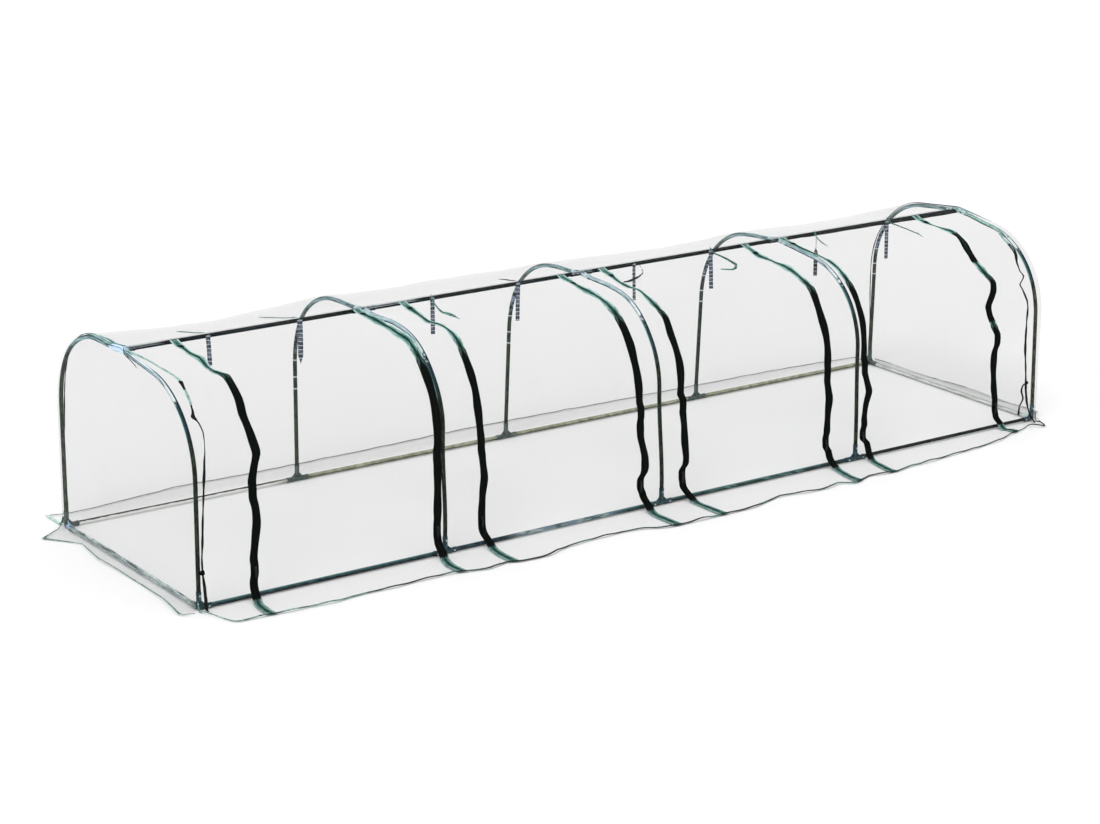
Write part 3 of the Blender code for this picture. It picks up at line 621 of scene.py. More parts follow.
def back_rail_material(top_a, top_b, low_a, low_b):
    """The back rails: patchy, painted lighter on the crown and darker beneath as light and shade."""
    p = Paint("rail_paint_back", 0.5, 0.05, 0.10)
    x, y, z = p.split()
    mottle = p.noise(45.0, 3.0, 0.65)
    fine = p.noise(600.0, 2.0, 0.6)
    wear = p.steps(p.math("ADD", p.math("MULTIPLY", mottle, 0.7), p.math("MULTIPLY", fine, 0.3)), 0.42, 0.60)
    top, low = p.mix(top_a, top_b, wear), p.mix(low_a, low_b, wear)
    height = p.math("ADD", z, p.math("MULTIPLY", p.math("SUBTRACT", mottle, 0.5), 0.006))
    # Painted light and shade: the upper half lighter, the lower darker.
    body = p.mix(low, top, p.steps(height, 0.0085, 0.0115))
    # hidden behind the folds of the first bay but for its crown: below the crown it is painted pale, as glare of the
    # film in front
    first = p.math("SUBTRACT", 1.0, p.steps(x, -1.12, -0.98))
    body = p.mix(body, p.mix((0.78, 0.79, 0.77), (0.050, 0.055, 0.042), p.steps(height, 0.0140, 0.0152)), first)
    p.colour(body)
    p.link(p.math("ADD", 0.42, p.math("MULTIPLY", fine, 0.2)), p.out.inputs["Roughness"])
    p.bump(fine, 0.25, 0.0003)
    return p.m


def front_rail_material():
    """The front rails behind the film, painted lighter on top and near black beneath as light and shade: blue-black
    with a painted teal highlight on the crest in the first bay and a fainter one in the middle bays, pale blue-grey
    blotches in the second, teal-flecked in the third, near black in the last, whose underside is painted pale as glare
    of the film so that it reads thin.
    """
    p = Paint("rail_paint_front", 0.5, 0.05, 0.10)
    x, y, z = p.split()
    mottle = p.noise(45.0, 3.0, 0.65)
    fine = p.noise(600.0, 2.0, 0.6)
    streak = p.noise(60.0, 3.0, 0.65, stretch=(0.30, 1.0, 2.0))
    patch = p.noise(9.0, 2.0, 0.5, stretch=(1.0, 0.2, 0.2))
    wear = p.steps(p.math("ADD", p.math("MULTIPLY", mottle, 0.7), p.math("MULTIPLY", fine, 0.3)), 0.42, 0.60)
    top, low = p.mix((0.010, 0.026, 0.033), (0.030, 0.066, 0.082), wear), p.mix((0.005, 0.006, 0.006), (0.020, 0.024, 0.024), wear)
    height = p.math("ADD", z, p.math("MULTIPLY", p.math("SUBTRACT", mottle, 0.5), 0.006))
    # Painted light and shade: the upper half lighter, the lower near black.
    body = p.mix(low, top, p.steps(height, 0.0085, 0.0115))
    crest = p.steps(height, 0.0148, 0.0160)

    def stretch_of(a, b, c, d):
        return p.math("MULTIPLY", p.steps(x, a, b), p.math("SUBTRACT", 1.0, p.steps(x, c, d)))

    near = p.math("SUBTRACT", 1.0, p.steps(x, -1.10, -0.95))
    # Painted teal highlights along the crest.
    body = p.mix(body, (0.060, 0.170, 0.155), p.math("MULTIPLY", p.math("MULTIPLY", crest, near), 0.8))
    pale_blotch = p.mix(p.mix((0.075, 0.120, 0.140), (0.150, 0.215, 0.270), p.steps(patch, 0.46, 0.56)), (0.360, 0.440, 0.420), p.steps(streak, 0.47, 0.58))
    body = p.mix(body, pale_blotch, p.math("MULTIPLY", stretch_of(-0.72, -0.60, -0.26, -0.12), 0.92))
    teal = p.mix((0.010, 0.032, 0.029), (0.160, 0.285, 0.262), p.steps(streak, 0.50, 0.58))
    body = p.mix(body, teal, p.math("MULTIPLY", stretch_of(0.16, 0.40, 0.62, 0.78), 0.9))
    body = p.mix(body, (0.085, 0.205, 0.185), p.math("MULTIPLY", p.math("MULTIPLY", crest, stretch_of(-0.40, -0.20, 0.76, 0.90)), 0.65))
    far = p.steps(x, 1.02, 1.08)
    body = p.mix(body, p.mix((0.0045, 0.0050, 0.0050), (0.014, 0.017, 0.016), wear), p.math("MULTIPLY", far, 0.9))
    # In the last bay the underside is painted pale, as glare of the film, so the rail reads thin.
    body = p.mix(body, (0.66, 0.69, 0.69), p.math("MULTIPLY", p.math("MULTIPLY", far, p.math("SUBTRACT", 1.0, p.steps(height, 0.0060, 0.0078))), 0.9))
    p.colour(body)
    p.link(p.math("ADD", 0.42, p.math("MULTIPLY", fine, 0.2)), p.out.inputs["Roughness"])
    p.bump(fine, 0.25, 0.0003)
    return p.m


def streaked_material(name, pale, deep, mark, sky, dark_below=-1.0):
    """The end rails: a pale tone with sky-blue patches, painted glare and sky reflection, with dark streaks along it
    and small marks; given a height, darker below it and greyer along its top.
    """
    p = Paint(name, 0.45, 0.05, 0.2)
    streak = p.noise(14.0, 3.0, 0.65, "UV", 0.3, stretch=(16.0, 1.0, 1.0))
    fleck = p.noise(130.0, 3.0, 0.7)
    patch = p.noise(9.0, 2.0, 0.5)
    # The pale tone and the sky-blue patches are painted glare and sky reflection.
    body = p.mix(pale, sky, p.steps(patch, 0.46, 0.60))
    body = p.mix(body, mark, p.math("MULTIPLY", p.steps(fleck, 0.54, 0.66), 0.6))
    body = p.mix(body, deep, p.math("MULTIPLY", p.steps(streak, 0.50, 0.56), 0.9))
    if dark_below > 0:
        x, y, z = p.split()
        height = p.math("ADD", z, p.math("MULTIPLY", p.math("SUBTRACT", fleck, 0.5), 0.003))
        # Darker below the given height, greyer along the top.
        body = p.mix(body, (0.13, 0.135, 0.125), p.math("MULTIPLY", p.math("SUBTRACT", 1.0, p.steps(height, dark_below, dark_below + 0.0015)), 0.9))
        body = p.mix(body, (0.24, 0.25, 0.24), p.math("MULTIPLY", p.steps(height, 0.0160, 0.0168), 0.8))
    p.colour(body)
    p.bump(fleck, 0.2, 0.0003)
    return p.m


def joint_material(name, dark, light, scuffed, sky_glint=False, far=False):
    """Moulded nylon with a grained face and paler scuffs; optionally a painted pale-blue sky reflection on the corner
    arm seen through the film, or a painted pale glare of the film on the arm under the end panel's foot.
    """
    p = Paint(name, 0.5, 0.0, 0.2)
    grain = p.noise(1500.0, 2.0, 0.6)
    scuff = p.noise(75.0, 4.0, 0.7)
    body = p.mix(dark, light, p.steps(scuff, 0.42, 0.60))
    body = p.mix(body, scuffed, p.math("MULTIPLY", p.steps(scuff, 0.60, 0.74), 0.8))
    if sky_glint:
        x, y, z = p.split()
        arm = p.math("MULTIPLY", p.math("SUBTRACT", 1.0, p.steps(x, -1.962, -1.958)), p.math("SUBTRACT", 1.0, p.steps(y, 0.494, 0.500)))
        # A painted pale-blue reflection of the sky on the corner arm.
        body = p.mix(body, (0.36, 0.52, 0.74), p.math("MULTIPLY", arm, p.steps(scuff, 0.38, 0.50)))
    if far:   # the arm under the end panel's foot is painted pale, as glare of the film over it
        x, y, z = p.split()
        arm = p.steps(y, -0.4990, -0.4955)
        body = p.mix(body, p.mix((0.42, 0.58, 0.58), (0.70, 0.80, 0.80), p.steps(scuff, 0.40, 0.56)), p.math("MULTIPLY", arm, 0.92))
    p.colour(body)
    p.bump(grain, 0.3, 0.0003)
    return p.m


def ridge_material():
    """The ridge tubes: near black with dark blue streaks of painted glint, a painted pale highlight along the top of
    the near stretches, and a paler, bluer painted highlight on top at the far end.
    """
    p = Paint("tube_paint_ridge", 0.5, 0.1, 0.06)
    x, y, z = p.split()
    streak = p.noise(3.0, 3.0, 0.6, "UV", 0.2, stretch=(60.0, 1.0, 1.0))
    fine = p.noise(700.0, 2.0, 0.6)
    patch = p.noise(2.3, 2.0, 0.5)
    body = p.mix((0.0012, 0.0035, 0.0040), (0.004, 0.012, 0.015), p.steps(fine, 0.4, 0.7))
    # Dark blue streaks: painted glints.
    body = p.mix(body, (0.020, 0.085, 0.110), p.math("MULTIPLY", p.math("MULTIPLY", p.steps(streak, 0.53, 0.62), p.steps(patch, 0.42, 0.56)), 0.8))
    crown = p.steps(p.math("ADD", z, p.math("MULTIPLY", p.math("SUBTRACT", streak, 0.5), 0.004)), 0.8060, 0.8075)
    near = p.math("MAXIMUM", p.math("SUBTRACT", 1.0, p.steps(x, -1.84, -1.80)), p.math("MULTIPLY", p.steps(x, -1.0, -0.99), p.math("SUBTRACT", 1.0, p.steps(x, -0.78, -0.74))))
    # A painted pale highlight along the top of the near stretches.
    body = p.mix(body, (0.50, 0.58, 0.60), p.math("MULTIPLY", p.math("MULTIPLY", crown, near), 0.85))
    far = p.math("MULTIPLY", p.steps(x, 1.40, 1.52), p.steps(p.math("ADD", z, p.math("MULTIPLY", streak, 0.004)), 0.8055, 0.8085))
    # A paler, bluer painted highlight on top at the far end.
    body = p.mix(body, (0.060, 0.095, 0.115), p.math("MULTIPLY", far, 0.9))
    p.colour(body)
    p.bump(fine, 0.25, 0.0003)
    return p.m


def ribbon_material(name, base, deep, thread):
    """A woven tie ribbon with a white bar of stitching every so often."""
    p = Paint(name, 0.85, 0.0, 0.2)
    u, v, _ = p.split("UV")
    patch = p.noise(70.0, 2.0, 0.6, "UV", stretch=(0.4, 1.0, 1.0))
    fleck = p.noise(500.0, 2.0, 0.6, "UV")
    weave = p.math("ADD", p.math("MULTIPLY", p.band(u, 0.0017, 0.5, 0.4), 0.5), p.math("MULTIPLY", p.band(v, 0.0013, 0.5, 0.4), 0.5))
    body = p.mix(base, deep, p.steps(p.math("ADD", patch, p.math("MULTIPLY", fleck, 0.2)), 0.48, 0.66))
    body = p.mix(body, thread, p.math("MULTIPLY", p.band(p.math("ADD", v, p.math("MULTIPLY", patch, 0.004)), 0.0155, 0.16, 0.08), 0.75))
    body = p.mix(body, thread, p.math("MULTIPLY", p.math("MULTIPLY", p.band(u, 0.0150, 0.06, 0.05), p.band(v, 0.0042, 0.6, 0.1)), 0.5))
    p.colour(body)
    p.bump(weave, 0.5, 0.0006)
    return p.m


def trim_material(name, dark, light, share):
    """Sewn edge binding: a fine rib, patchy between two tones."""
    p = Paint(name, 0.75, 0.0, 0.25)
    u, v, _ = p.split("UV")
    patch = p.noise(5.0, 3.0, 0.6)
    fleck = p.noise(110.0, 3.0, 0.7)
    mixed = p.math("ADD", p.math("MULTIPLY", patch, 0.6), p.math("MULTIPLY", fleck, 0.4))
    p.colour(p.mix(dark, light, p.steps(mixed, share - 0.06, share + 0.06)))
    p.bump(p.math("ADD", p.band(v, 0.0026, 0.55, 0.3), fleck), 0.4, 0.0005)
    return p.m


def binding_material(name, dark, light, share):
    """Skirt edging: patchy teal and pale, paler at the near end and inky at the far corner. UV v is the place along the tunnel plus 3."""
    p = Paint(name, 0.8, 0.0, 0.15)
    u, v, _ = p.split("UV")
    patch = p.noise(5.0, 3.0, 0.6)
    fleck = p.noise(150.0, 3.0, 0.7)
    mixed = p.math("ADD", p.math("MULTIPLY", patch, 0.5), p.math("MULTIPLY", fleck, 0.5))
    near = p.math("SUBTRACT", 1.0, p.steps(v, 1.30, 1.80))
    tone = p.mix(dark, light, p.steps(p.math("ADD", mixed, p.math("MULTIPLY", near, 0.05)), share - 0.05, share + 0.05))
    tone = p.mix(tone, (0.34, 0.56, 0.50), p.math("MULTIPLY", near, p.steps(fleck, 0.50, 0.60)))
    p.colour(p.mix(tone, (0.012, 0.024, 0.022), p.steps(v, 4.80, 4.86)))
    p.bump(p.math("ADD", p.band(v, 0.0026, 0.55, 0.3), fleck), 0.4, 0.0005)
    return p.m


def piping_material():
    """The piping along an end seam. UV u carries how inky it is, v runs down the seam."""
    p = Paint("seam_piping", 0.8, 0.0, 0.1)
    u, v, _ = p.split("UV")
    fleck = p.noise(330.0, 3.0, 0.7)
    wear = p.noise(120.0, 3.0, 0.6)
    pale = p.mix((0.080, 0.210, 0.185), (0.45, 0.63, 0.58), p.steps(fleck, 0.43, 0.55))
    pale = p.mix(pale, (0.020, 0.050, 0.045), p.steps(wear, 0.57, 0.66))
    ink = p.mix((0.003, 0.004, 0.004), (0.014, 0.018, 0.015), fleck)
    p.colour(p.mix(pale, ink, p.steps(p.math("ADD", u, p.math("MULTIPLY", p.math("SUBTRACT", wear, 0.5), 0.5)), 0.40, 0.60)))
    p.bump(p.math("ADD", p.band(v, 0.0026, 0.55, 0.3), fleck), 0.4, 0.0005)
    return p.m


def clear_band_material():
    """A welded clear band with two rows of dark stitching."""
    p = Paint("clear_seam_band", 0.35, 0.0, 0.3)
    u, v, _ = p.split("UV")
    cloud = p.noise(14.0, 3.0, 0.6, "UV")
    stitch = p.math("MULTIPLY", p.band(v, 0.006, 0.6, 0.1), p.math("MAXIMUM", p.math("COMPARE", u, 0.0030, 0.0005), p.math("COMPARE", u, 0.0150, 0.0005)))
    p.colour(p.mix((0.03, 0.05, 0.055), (0.02, 0.03, 0.03), stitch))
    p.link(p.math("MAXIMUM", p.math("MULTIPLY", stitch, 0.9), p.math("ADD", 0.02, p.math("MULTIPLY", cloud, 0.08))), p.out.inputs["Alpha"])
    p.bump(cloud, 0.3, 0.001)
    return p.m


def hem_material(name, glints):
    """The gathered hem over an end hoop: folds of film and binding in streaks of pale blue, teal and ink; with glints,
    also painted patches of sky glint and a painted white highlight in front.
    """
    p = Paint(name, 0.6, 0.0, 0.15)
    u, v, _ = p.split("UV")
    fold = p.noise(7.0, 2.0, 0.6, "UV", 0.3, stretch=(34.0, 1.0, 1.0))
    fleck = p.noise(260.0, 3.0, 0.7)
    place_ = p.noise(26.0, 2.0, 0.5)
    body = p.mix((0.15, 0.31, 0.29), (0.46, 0.62, 0.61), p.steps(fold, 0.50, 0.54))
    if glints:
        # Painted patches of sky glint.
        body = p.mix(body, (0.36, 0.45, 0.60), p.math("MULTIPLY", p.steps(place_, 0.50, 0.60), p.steps(fold, 0.46, 0.56)))
    body = p.mix(body, (0.030, 0.085, 0.080), p.math("SUBTRACT", 1.0, p.steps(fold, 0.44, 0.48)))
    # a glint of sky where the gather turns over the end of the ridge
    glint = p.math("MULTIPLY", p.math("MULTIPLY", p.steps(v, 0.928, 0.945), p.math("SUBTRACT", 1.0, p.steps(v, 1.025, 1.045))), p.math("SUBTRACT", 1.0, p.steps(u, 0.012, 0.016)))
    if glints:
        body = p.mix(body, (0.58, 0.76, 0.96), p.math("MULTIPLY", glint, p.steps(fleck, 0.36, 0.44)))
        # in front it thins to a white line, a painted highlight
        body = p.mix(body, (0.74, 0.84, 0.88), p.math("MULTIPLY", p.steps(v, 1.060, 1.100), p.steps(fleck, 0.40, 0.50)))
    p.colour(body)
    p.bump(fold, 0.8, 0.002)
    return p.m


def plain_material(name, a, b, roughness, metallic=0.0, scale=400.0, specular=0.5):
    p = Paint(name, roughness, metallic, specular)
    n = p.noise(scale, 3.0, 0.6)
    p.colour(p.mix(a, b, p.steps(n, 0.4, 0.65)))
    p.bump(n, 0.15, 0.0003)
    return p.m


FILM = film_material("clear_film", 0.062, (0.012, 0.014, 0.014), low=0.72)
FILM_BACK = film_material("clear_film_back", 0.060, (0.012, 0.014, 0.014), 0.28, high=1.25)
FILM_END = film_material("clear_film_end", 0.066, (0.012, 0.014, 0.014))
FILM_FAR = film_material("clear_film_far", 0.052, (0.012, 0.014, 0.014), 0.35)
DOOR_FILM = film_material("door_film", 0.062, (0.012, 0.014, 0.014), low=0.72)
TAPE = tape_material()
CHAIN = chain_material()
TUBE_FRONT = tube_material("tube_paint_front", (0.0055, 0.0085, 0.0060), (0.042, 0.062, 0.036), (0.26, 0.44, 0.50), (0.66, 0.78, 0.84), 0.8)
TUBE_OLIVE = tube_material("tube_paint_olive", (0.018, 0.024, 0.016), (0.095, 0.110, 0.062), (0.14, 0.34, 0.31), (0.46, 0.66, 0.62), 0.9)
TUBE_BACK = tube_material("tube_paint_back", (0.022, 0.034, 0.028), (0.078, 0.092, 0.060), (0.130, 0.230, 0.235), (0.34, 0.50, 0.55), 0.9, True)
TUBE_RIDGE = ridge_material()
RAIL_FRONT = front_rail_material()
RAIL_BACK = back_rail_material((0.250, 0.270, 0.180), (0.420, 0.440, 0.335), (0.090, 0.100, 0.070), (0.200, 0.212, 0.155))
RAIL_END = streaked_material("end_rail_paint", (0.56, 0.63, 0.61), (0.170, 0.215, 0.205), (0.14, 0.32, 0.28), (0.62, 0.70, 0.74))
RAIL_FAR = streaked_material("far_rail_paint", (0.70, 0.72, 0.70), (0.400, 0.410, 0.380), (0.46, 0.49, 0.46), (0.74, 0.77, 0.76), 0.0040)
def ridge_joint_material():
    """The ridge sockets: near black along the ridge with a painted sky reflection on their crown, and painted pale,
    streaked reflections where they reach down the hoops.
    """
    p = Paint("joint_nylon_ridge", 0.5, 0.0, 0.2)
    x, y, z = p.split()
    grain = p.noise(1500.0, 2.0, 0.6)
    scuff = p.noise(75.0, 4.0, 0.7)
    line = p.noise(150.0, 2.0, 0.6, stretch=(1.0, 0.12, 0.3))
    body = p.mix((0.003, 0.008, 0.010), (0.010, 0.026, 0.030), p.steps(scuff, 0.42, 0.60))
    # its crown: a painted reflection of the sky, but for a thin dark line below
    upper = p.steps(p.math("ADD", z, p.math("MULTIPLY", p.math("SUBTRACT", scuff, 0.5), 0.004)), 0.8060, 0.8075)
    body = p.mix(body, p.mix((0.30, 0.42, 0.46), (0.62, 0.72, 0.76), p.steps(line, 0.44, 0.56)), p.math("MULTIPLY", upper, 0.9))
    # The arms down the hoops: painted pale reflections in streaks.
    side = p.math("MAXIMUM", p.steps(y, 0.0115, 0.0150), p.math("SUBTRACT", 1.0, p.steps(y, -0.0150, -0.0115)))
    pale = p.mix((0.24, 0.42, 0.44), (0.64, 0.78, 0.84), p.steps(line, 0.42, 0.52))
    pale = p.mix(pale, (0.04, 0.11, 0.12), p.steps(line, 0.58, 0.63))
    body = p.mix(body, pale, side)
    p.colour(body)
    p.bump(grain, 0.3, 0.0003)
    return p.m


JOINT_RIDGE = ridge_joint_material()
JOINT = joint_material("joint_nylon", (0.012, 0.030, 0.038), (0.040, 0.085, 0.100), (0.20, 0.30, 0.35))
JOINT_BACK = joint_material("joint_nylon_back", (0.058, 0.080, 0.075), (0.115, 0.142, 0.126), (0.24, 0.29, 0.28), True)
JOINT_FAR = joint_material("joint_nylon_far", (0.022, 0.046, 0.056), (0.065, 0.115, 0.130), (0.30, 0.40, 0.44), far=True)
RIBBON = ribbon_material("tie_ribbon_weave", (0.16, 0.19, 0.26), (0.028, 0.040, 0.045), (0.72, 0.78, 0.86))
RIBBON_GREY = ribbon_material("tie_ribbon_grey", (0.090, 0.085, 0.095), (0.020, 0.018, 0.022), (0.50, 0.50, 0.54))
STRAP = ribbon_material("tie_strap_black", (0.006, 0.009, 0.009), (0.003, 0.004, 0.004), (0.020, 0.028, 0.027))
RIBBON_OUT = ribbon_material("tie_ribbon_teal", (0.070, 0.235, 0.205), (0.016, 0.060, 0.055), (0.40, 0.66, 0.61))
RIBBON_DARK = ribbon_material("tie_ribbon_dark", (0.030, 0.040, 0.038), (0.010, 0.014, 0.013), (0.14, 0.24, 0.22))
BINDING = binding_material("edge_binding", (0.020, 0.024, 0.025), (0.085, 0.190, 0.170), 0.54)
BINDING_FAR = trim_material("edge_binding_far", (0.240, 0.250, 0.245), (0.72, 0.74, 0.73), 0.50)
BINDING_BACK = trim_material("edge_binding_back", (0.20, 0.21, 0.20), (0.13, 0.15, 0.145), 0.56)
BINDING_PALE = trim_material("edge_binding_pale", (0.13, 0.28, 0.25), (0.52, 0.70, 0.65), 0.47)
PIPING = piping_material()
RIDGE_SEAM = clear_band_material()
HEM = hem_material("gathered_hem", True)
HEM_FAR = hem_material("gathered_hem_far", False)
SLIDER = plain_material("slider_enamel", (0.010, 0.013, 0.013), (0.030, 0.034, 0.034), 0.34, 0.7, 600.0)
STOP = plain_material("zip_stop", (0.003, 0.004, 0.004), (0.010, 0.012, 0.012), 0.45, 0.2, 500.0)
KNOT = plain_material("tie_knot", (0.0025, 0.0030, 0.0030), (0.0080, 0.0090, 0.0090), 0.95, 0.0, 300.0, 0.03)
BUTTON = plain_material("spring_button", (0.78, 0.80, 0.82), (0.55, 0.58, 0.60), 0.30, 0.6, 500.0)


# ---- film panels --------------------------------------------------------
FILM_T = 0.0003


def rows(first, last, step=0.017):
    return np.linspace(first, last, int(round((last - first) / step)) + 1)


def columns(x0, x1, zip_left, zip_right):
    step = 0.018
    near = np.array([0.004, 0.008, 0.0125, 0.0175, 0.025, 0.035, 0.047])
    a = [x0] + ([x0 + d for d in near] if zip_left else [])
    b = ([x1 - d for d in near[::-1]] if zip_right else []) + [x1]
    lo, hi = a[-1], b[0]
    count = max(1, int(round((hi - lo) / step)))
    return np.array(a[:-1] + list(np.linspace(lo, hi, count + 1)) + b[1:])


def film_panel(name, xs, ss, side, mat):
    x, s = np.meshgrid(xs, ss)
    outer, inner = place(x, s, FILM_T, side), place(x, s, 0.0, side)
    return shell(name, outer, inner, mat, x + 3.0, s + 1.0)


def ribbon_on_cover(name, xs, ss, h0, h1, side, mat, swap=False):
    """The outer and inner faces, as point grids, of a flat strip on the cover between h0 and h1 out of the film. xs and
    ss are grids.
    """
    outer, inner = place(xs, ss, h1, side), place(xs, ss, h0, side)
    return outer, inner


def binding(name, x0, x1, side, mat):
    """The folded edging round a skirt's outer edge."""
    across = np.array([-0.0048, -0.0032, -0.0010, 0.0010, 0.0018]) * (1.0 if side < 0 else 0.75)
    high = np.array([0.0010, 0.0013, 0.0013, 0.0010, 0.0004])
    low = np.array([-0.0007, -0.0009, -0.0009, -0.0007, -0.0002])
    xs = np.linspace(x0, x1, max(2, int((x1 - x0) / 0.010)))
    x, c = np.meshgrid(xs, across)
    if side < 0:   # bunched where the skirt is tucked in at its far end
        c = c * (1 + 0.7 * ease(1.83, 1.90, x))
        high = high * 2.4
    hh, ll = high[:, None] * (1 + (0.35 * ease(1.80, 1.87, x) if side < 0 else 0.0 * x)), np.broadcast_to(low[:, None], x.shape)
    outer, inner = place(x, S_EDGE + c, hh, side), place(x, S_EDGE + c, ll, side)
    inner[..., 2] = np.maximum(inner[..., 2], 0.0002)
    return shell(name, outer, inner, mat, c + 0.01, x + 3.0)


S_ROWS = rows(S_FIRST, S_EDGE)
STRIP_ENDS = [-END_X - 0.0004] + ZIPS + [END_X + 0.0004]

# the back sheet: roof, back wall and skirt in one
back_rows = np.concatenate([[-0.0119, -0.004], rows(0.004, S_EDGE)])
back_film = film_panel("back_sheet_film", columns(-END_X - 0.0004, END_X + 0.0004, False, False), back_rows, 1, FILM_BACK)
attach(back_film, "root")
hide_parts("cover_back_sheet")
back_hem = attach(binding("back_skirt_binding", -END_X, END_X, 1, BINDING_BACK), "root")


def tape_grid(x_zip, way):
    """The tape's columns from the zip line outwards, its height out of the film, and its run down the cover."""
    across = np.array([0.0001, 0.0022, 0.0050, 0.0085, 0.0120, 0.0150, TAPE_W])
    high = np.array([0.0013, 0.0014, 0.0010, 0.0009, 0.0009, 0.0011, 0.0009])
    ss = np.concatenate([rows(S_FIRST - 0.001, S_WALL, 0.010), rows(S_WALL, S_EDGE + 0.004, 0.008)[1:]])
    s, a = np.meshgrid(ss, across, indexing="ij")
    h = np.broadcast_to(high[None, :], s.shape)
    # it spreads where it lies on the ground
    return x_zip + way * a * (1 + 0.14 * ease(S_WALL + 0.02, S_FOOT + 0.03, s)), s, h, a


# Where each zip's painted teal sheen gives way to black, down the cover.
TEAL_TO = [.315, .420, .400, .385, .390, .405, .420, .500]


def shade_run(k, s):
    """The run down the cover as the tape's painted sheen reads it."""
    v = s + (0.355 - TEAL_TO[k]) * (1 - ease(0.55, 0.90, s))
    if k == 7:   # this one crosses over twice
        v = v + 0.30 * ease(0.205, 0.225, s) * (1 - ease(0.400, 0.435, s)) - 0.285 * ease(0.692, 0.706, s) * (1 - ease(0.744, 0.760, s)) + 0.022 * ease(1.10, 1.14, s)
    return v


def tape(name, x_zip, way):
    x, s, h, a = tape_grid(x_zip, way)
    k = ZIPS.index(x_zip)
    # the last of the tape is folded under at the skirt's edge
    end = ease(S_EDGE - 0.012, S_EDGE + 0.002, s)
    outer = place(x, s, h + 0.0012 * end, -1)
    inner = place(x, s, np.full_like(s, FILM_T + 0.00002), -1)
    return shell(name, outer, inner, TAPE, a, shade_run(k, s))


def chain(name, x_zip, way):
    """One row of moulded teeth and the stop at its top."""
    pitch, length, reach, foot = 0.0034, 0.0020, 0.0009, 0.0034
    stop = STOPS[ZIPS.index(x_zip)]
    first, last = stop + 0.021, S_EDGE - 0.020
    count = int((last - first) / pitch)
    s0 = first + np.arange(count) * pitch + (0.0 if way > 0 else pitch / 2)
    # corners as (across, along, out): a wide foot and a narrower crown
    low = [(-reach * 0.2, -0.5), (foot, -0.5), (foot, 0.5), (-reach * 0.2, 0.5)]
    mid = [(-reach, -0.42), (foot, -0.5), (foot, 0.5), (-reach, 0.42)]
    top = [(-reach * 0.6, -0.30), (foot * 0.8, -0.30), (foot * 0.8, 0.30), (-reach * 0.6, 0.30)]
    rings = [(low, 0.00135), (mid, 0.0019), (top, 0.0029)]
    xs, ss, hs = [], [], []
    for ring, h in rings:
        for a, t in ring:
            xs.append(np.full(count, x_zip + way * (a + 0.0002)))
            ss.append(s0 + t * length)
            hs.append(np.full(count, h))
    pts = place(np.stack(xs, 1), np.stack(ss, 1), np.stack(hs, 1), -1)
    faces = []
    quad = [(3, 2, 1, 0)] + [(r * 4 + i, r * 4 + (i + 1) % 4, r * 4 + 4 + (i + 1) % 4, r * 4 + 4 + i) for r in (0, 1) for i in range(4)] + [(8, 9, 10, 11)]
    if way > 0:
        quad = [q[::-1] for q in quad]
    for k in range(count):
        faces += [tuple(i + k * 12 for i in q) for q in quad]
    verts = pts.reshape(-1, 3)
    uvs = np.stack([np.stack(xs, 1).ravel() * 0, np.stack(ss, 1).ravel()], -1)
    # the top stop: a clamped block on this side's tape
    u = np.array([0.0004, 0.0016, 0.0082, 0.0094])
    v = np.array([0.0, 0.0015, 0.0165, 0.0180])
    vv, uu = np.meshgrid(stop + v, u, indexing="ij")
    rise = np.array([0.4, 1.0, 1.0, 0.4])
    height = 0.0014 + 0.0026 * rise[:, None] * rise[None, :]
    block_v, block_f = shell_parts(place(x_zip + way * uu, vv, height, -1), place(x_zip + way * uu, vv, np.full_like(uu, 0.00142), -1))
    block_uv = np.stack([uu, np.full_like(vv, 0.8)], -1).reshape(-1, 2)
    v_all, f_all, t_all = merge([(verts, faces, uvs), (block_v, block_f, np.concatenate([block_uv, block_uv]))])
    return add(name, v_all, f_all, CHAIN, t_all, 30)


def with_door(obj):
    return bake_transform(obj)


for n in range(5):
    x0, x1 = STRIP_ENDS[2 * n], STRIP_ENDS[2 * n + 1]
    left, right = n > 0, n < 4
    a, b = x0 + (ZIP_GAP if left else 0), x1 - (ZIP_GAP if right else 0)
    film = film_panel(f"front_strip_{n + 1}_film", columns(a, b, left, right), S_ROWS, -1, FILM)
    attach(film, "root")
    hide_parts(f"cover_front_strip_{n + 1}")
    trims = [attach(binding(f"front_strip_{n + 1}_binding", a + (0.012 if left else 0.001), b - (0.012 if right else 0.001), -1, BINDING), "root")]
    for has, x_zip, way, word in ((left, x0, 1, "left"), (right, x1, -1, "right")):
        if has:
            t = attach(tape(f"front_strip_{n + 1}_tape_{word}", x_zip, way), "root")
            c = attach(chain(f"front_strip_{n + 1}_teeth_{word}", x_zip, way), "root")
            trims.append(c)

for n in range(1, 5):
    x0, x1 = ZIPS[2 * n - 2], ZIPS[2 * n - 1]
    film = film_panel(f"door_{n}_film", columns(x0 + ZIP_GAP, x1 - ZIP_GAP, True, True), S_ROWS, -1, DOOR_FILM)
    with_door(film)
    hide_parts(f"door_flap_{n}")
    hem = with_door(binding(f"door_{n}_binding", x0 + 0.012, x1 - 0.012, -1, BINDING))
    trims = [hem]
    for x_zip, way, word in ((x0, 1, "left"), (x1, -1, "right")):
        t = with_door(tape(f"door_{n}_tape_{word}", x_zip, way))
        c = with_door(chain(f"door_{n}_teeth_{word}", x_zip, way))
        trims.append(c)


# ---- end panels ---------------------------------------------------------
def arch_top(y):
    y = np.abs(y)
    roof = APEX - y * math.tan(SLOPE)
    arc = CORNER_Z + np.sqrt(np.maximum(0, R_FILM ** 2 - (y - YC) ** 2))
    return np.where(y < S_CROWN * COS, roof, arc)


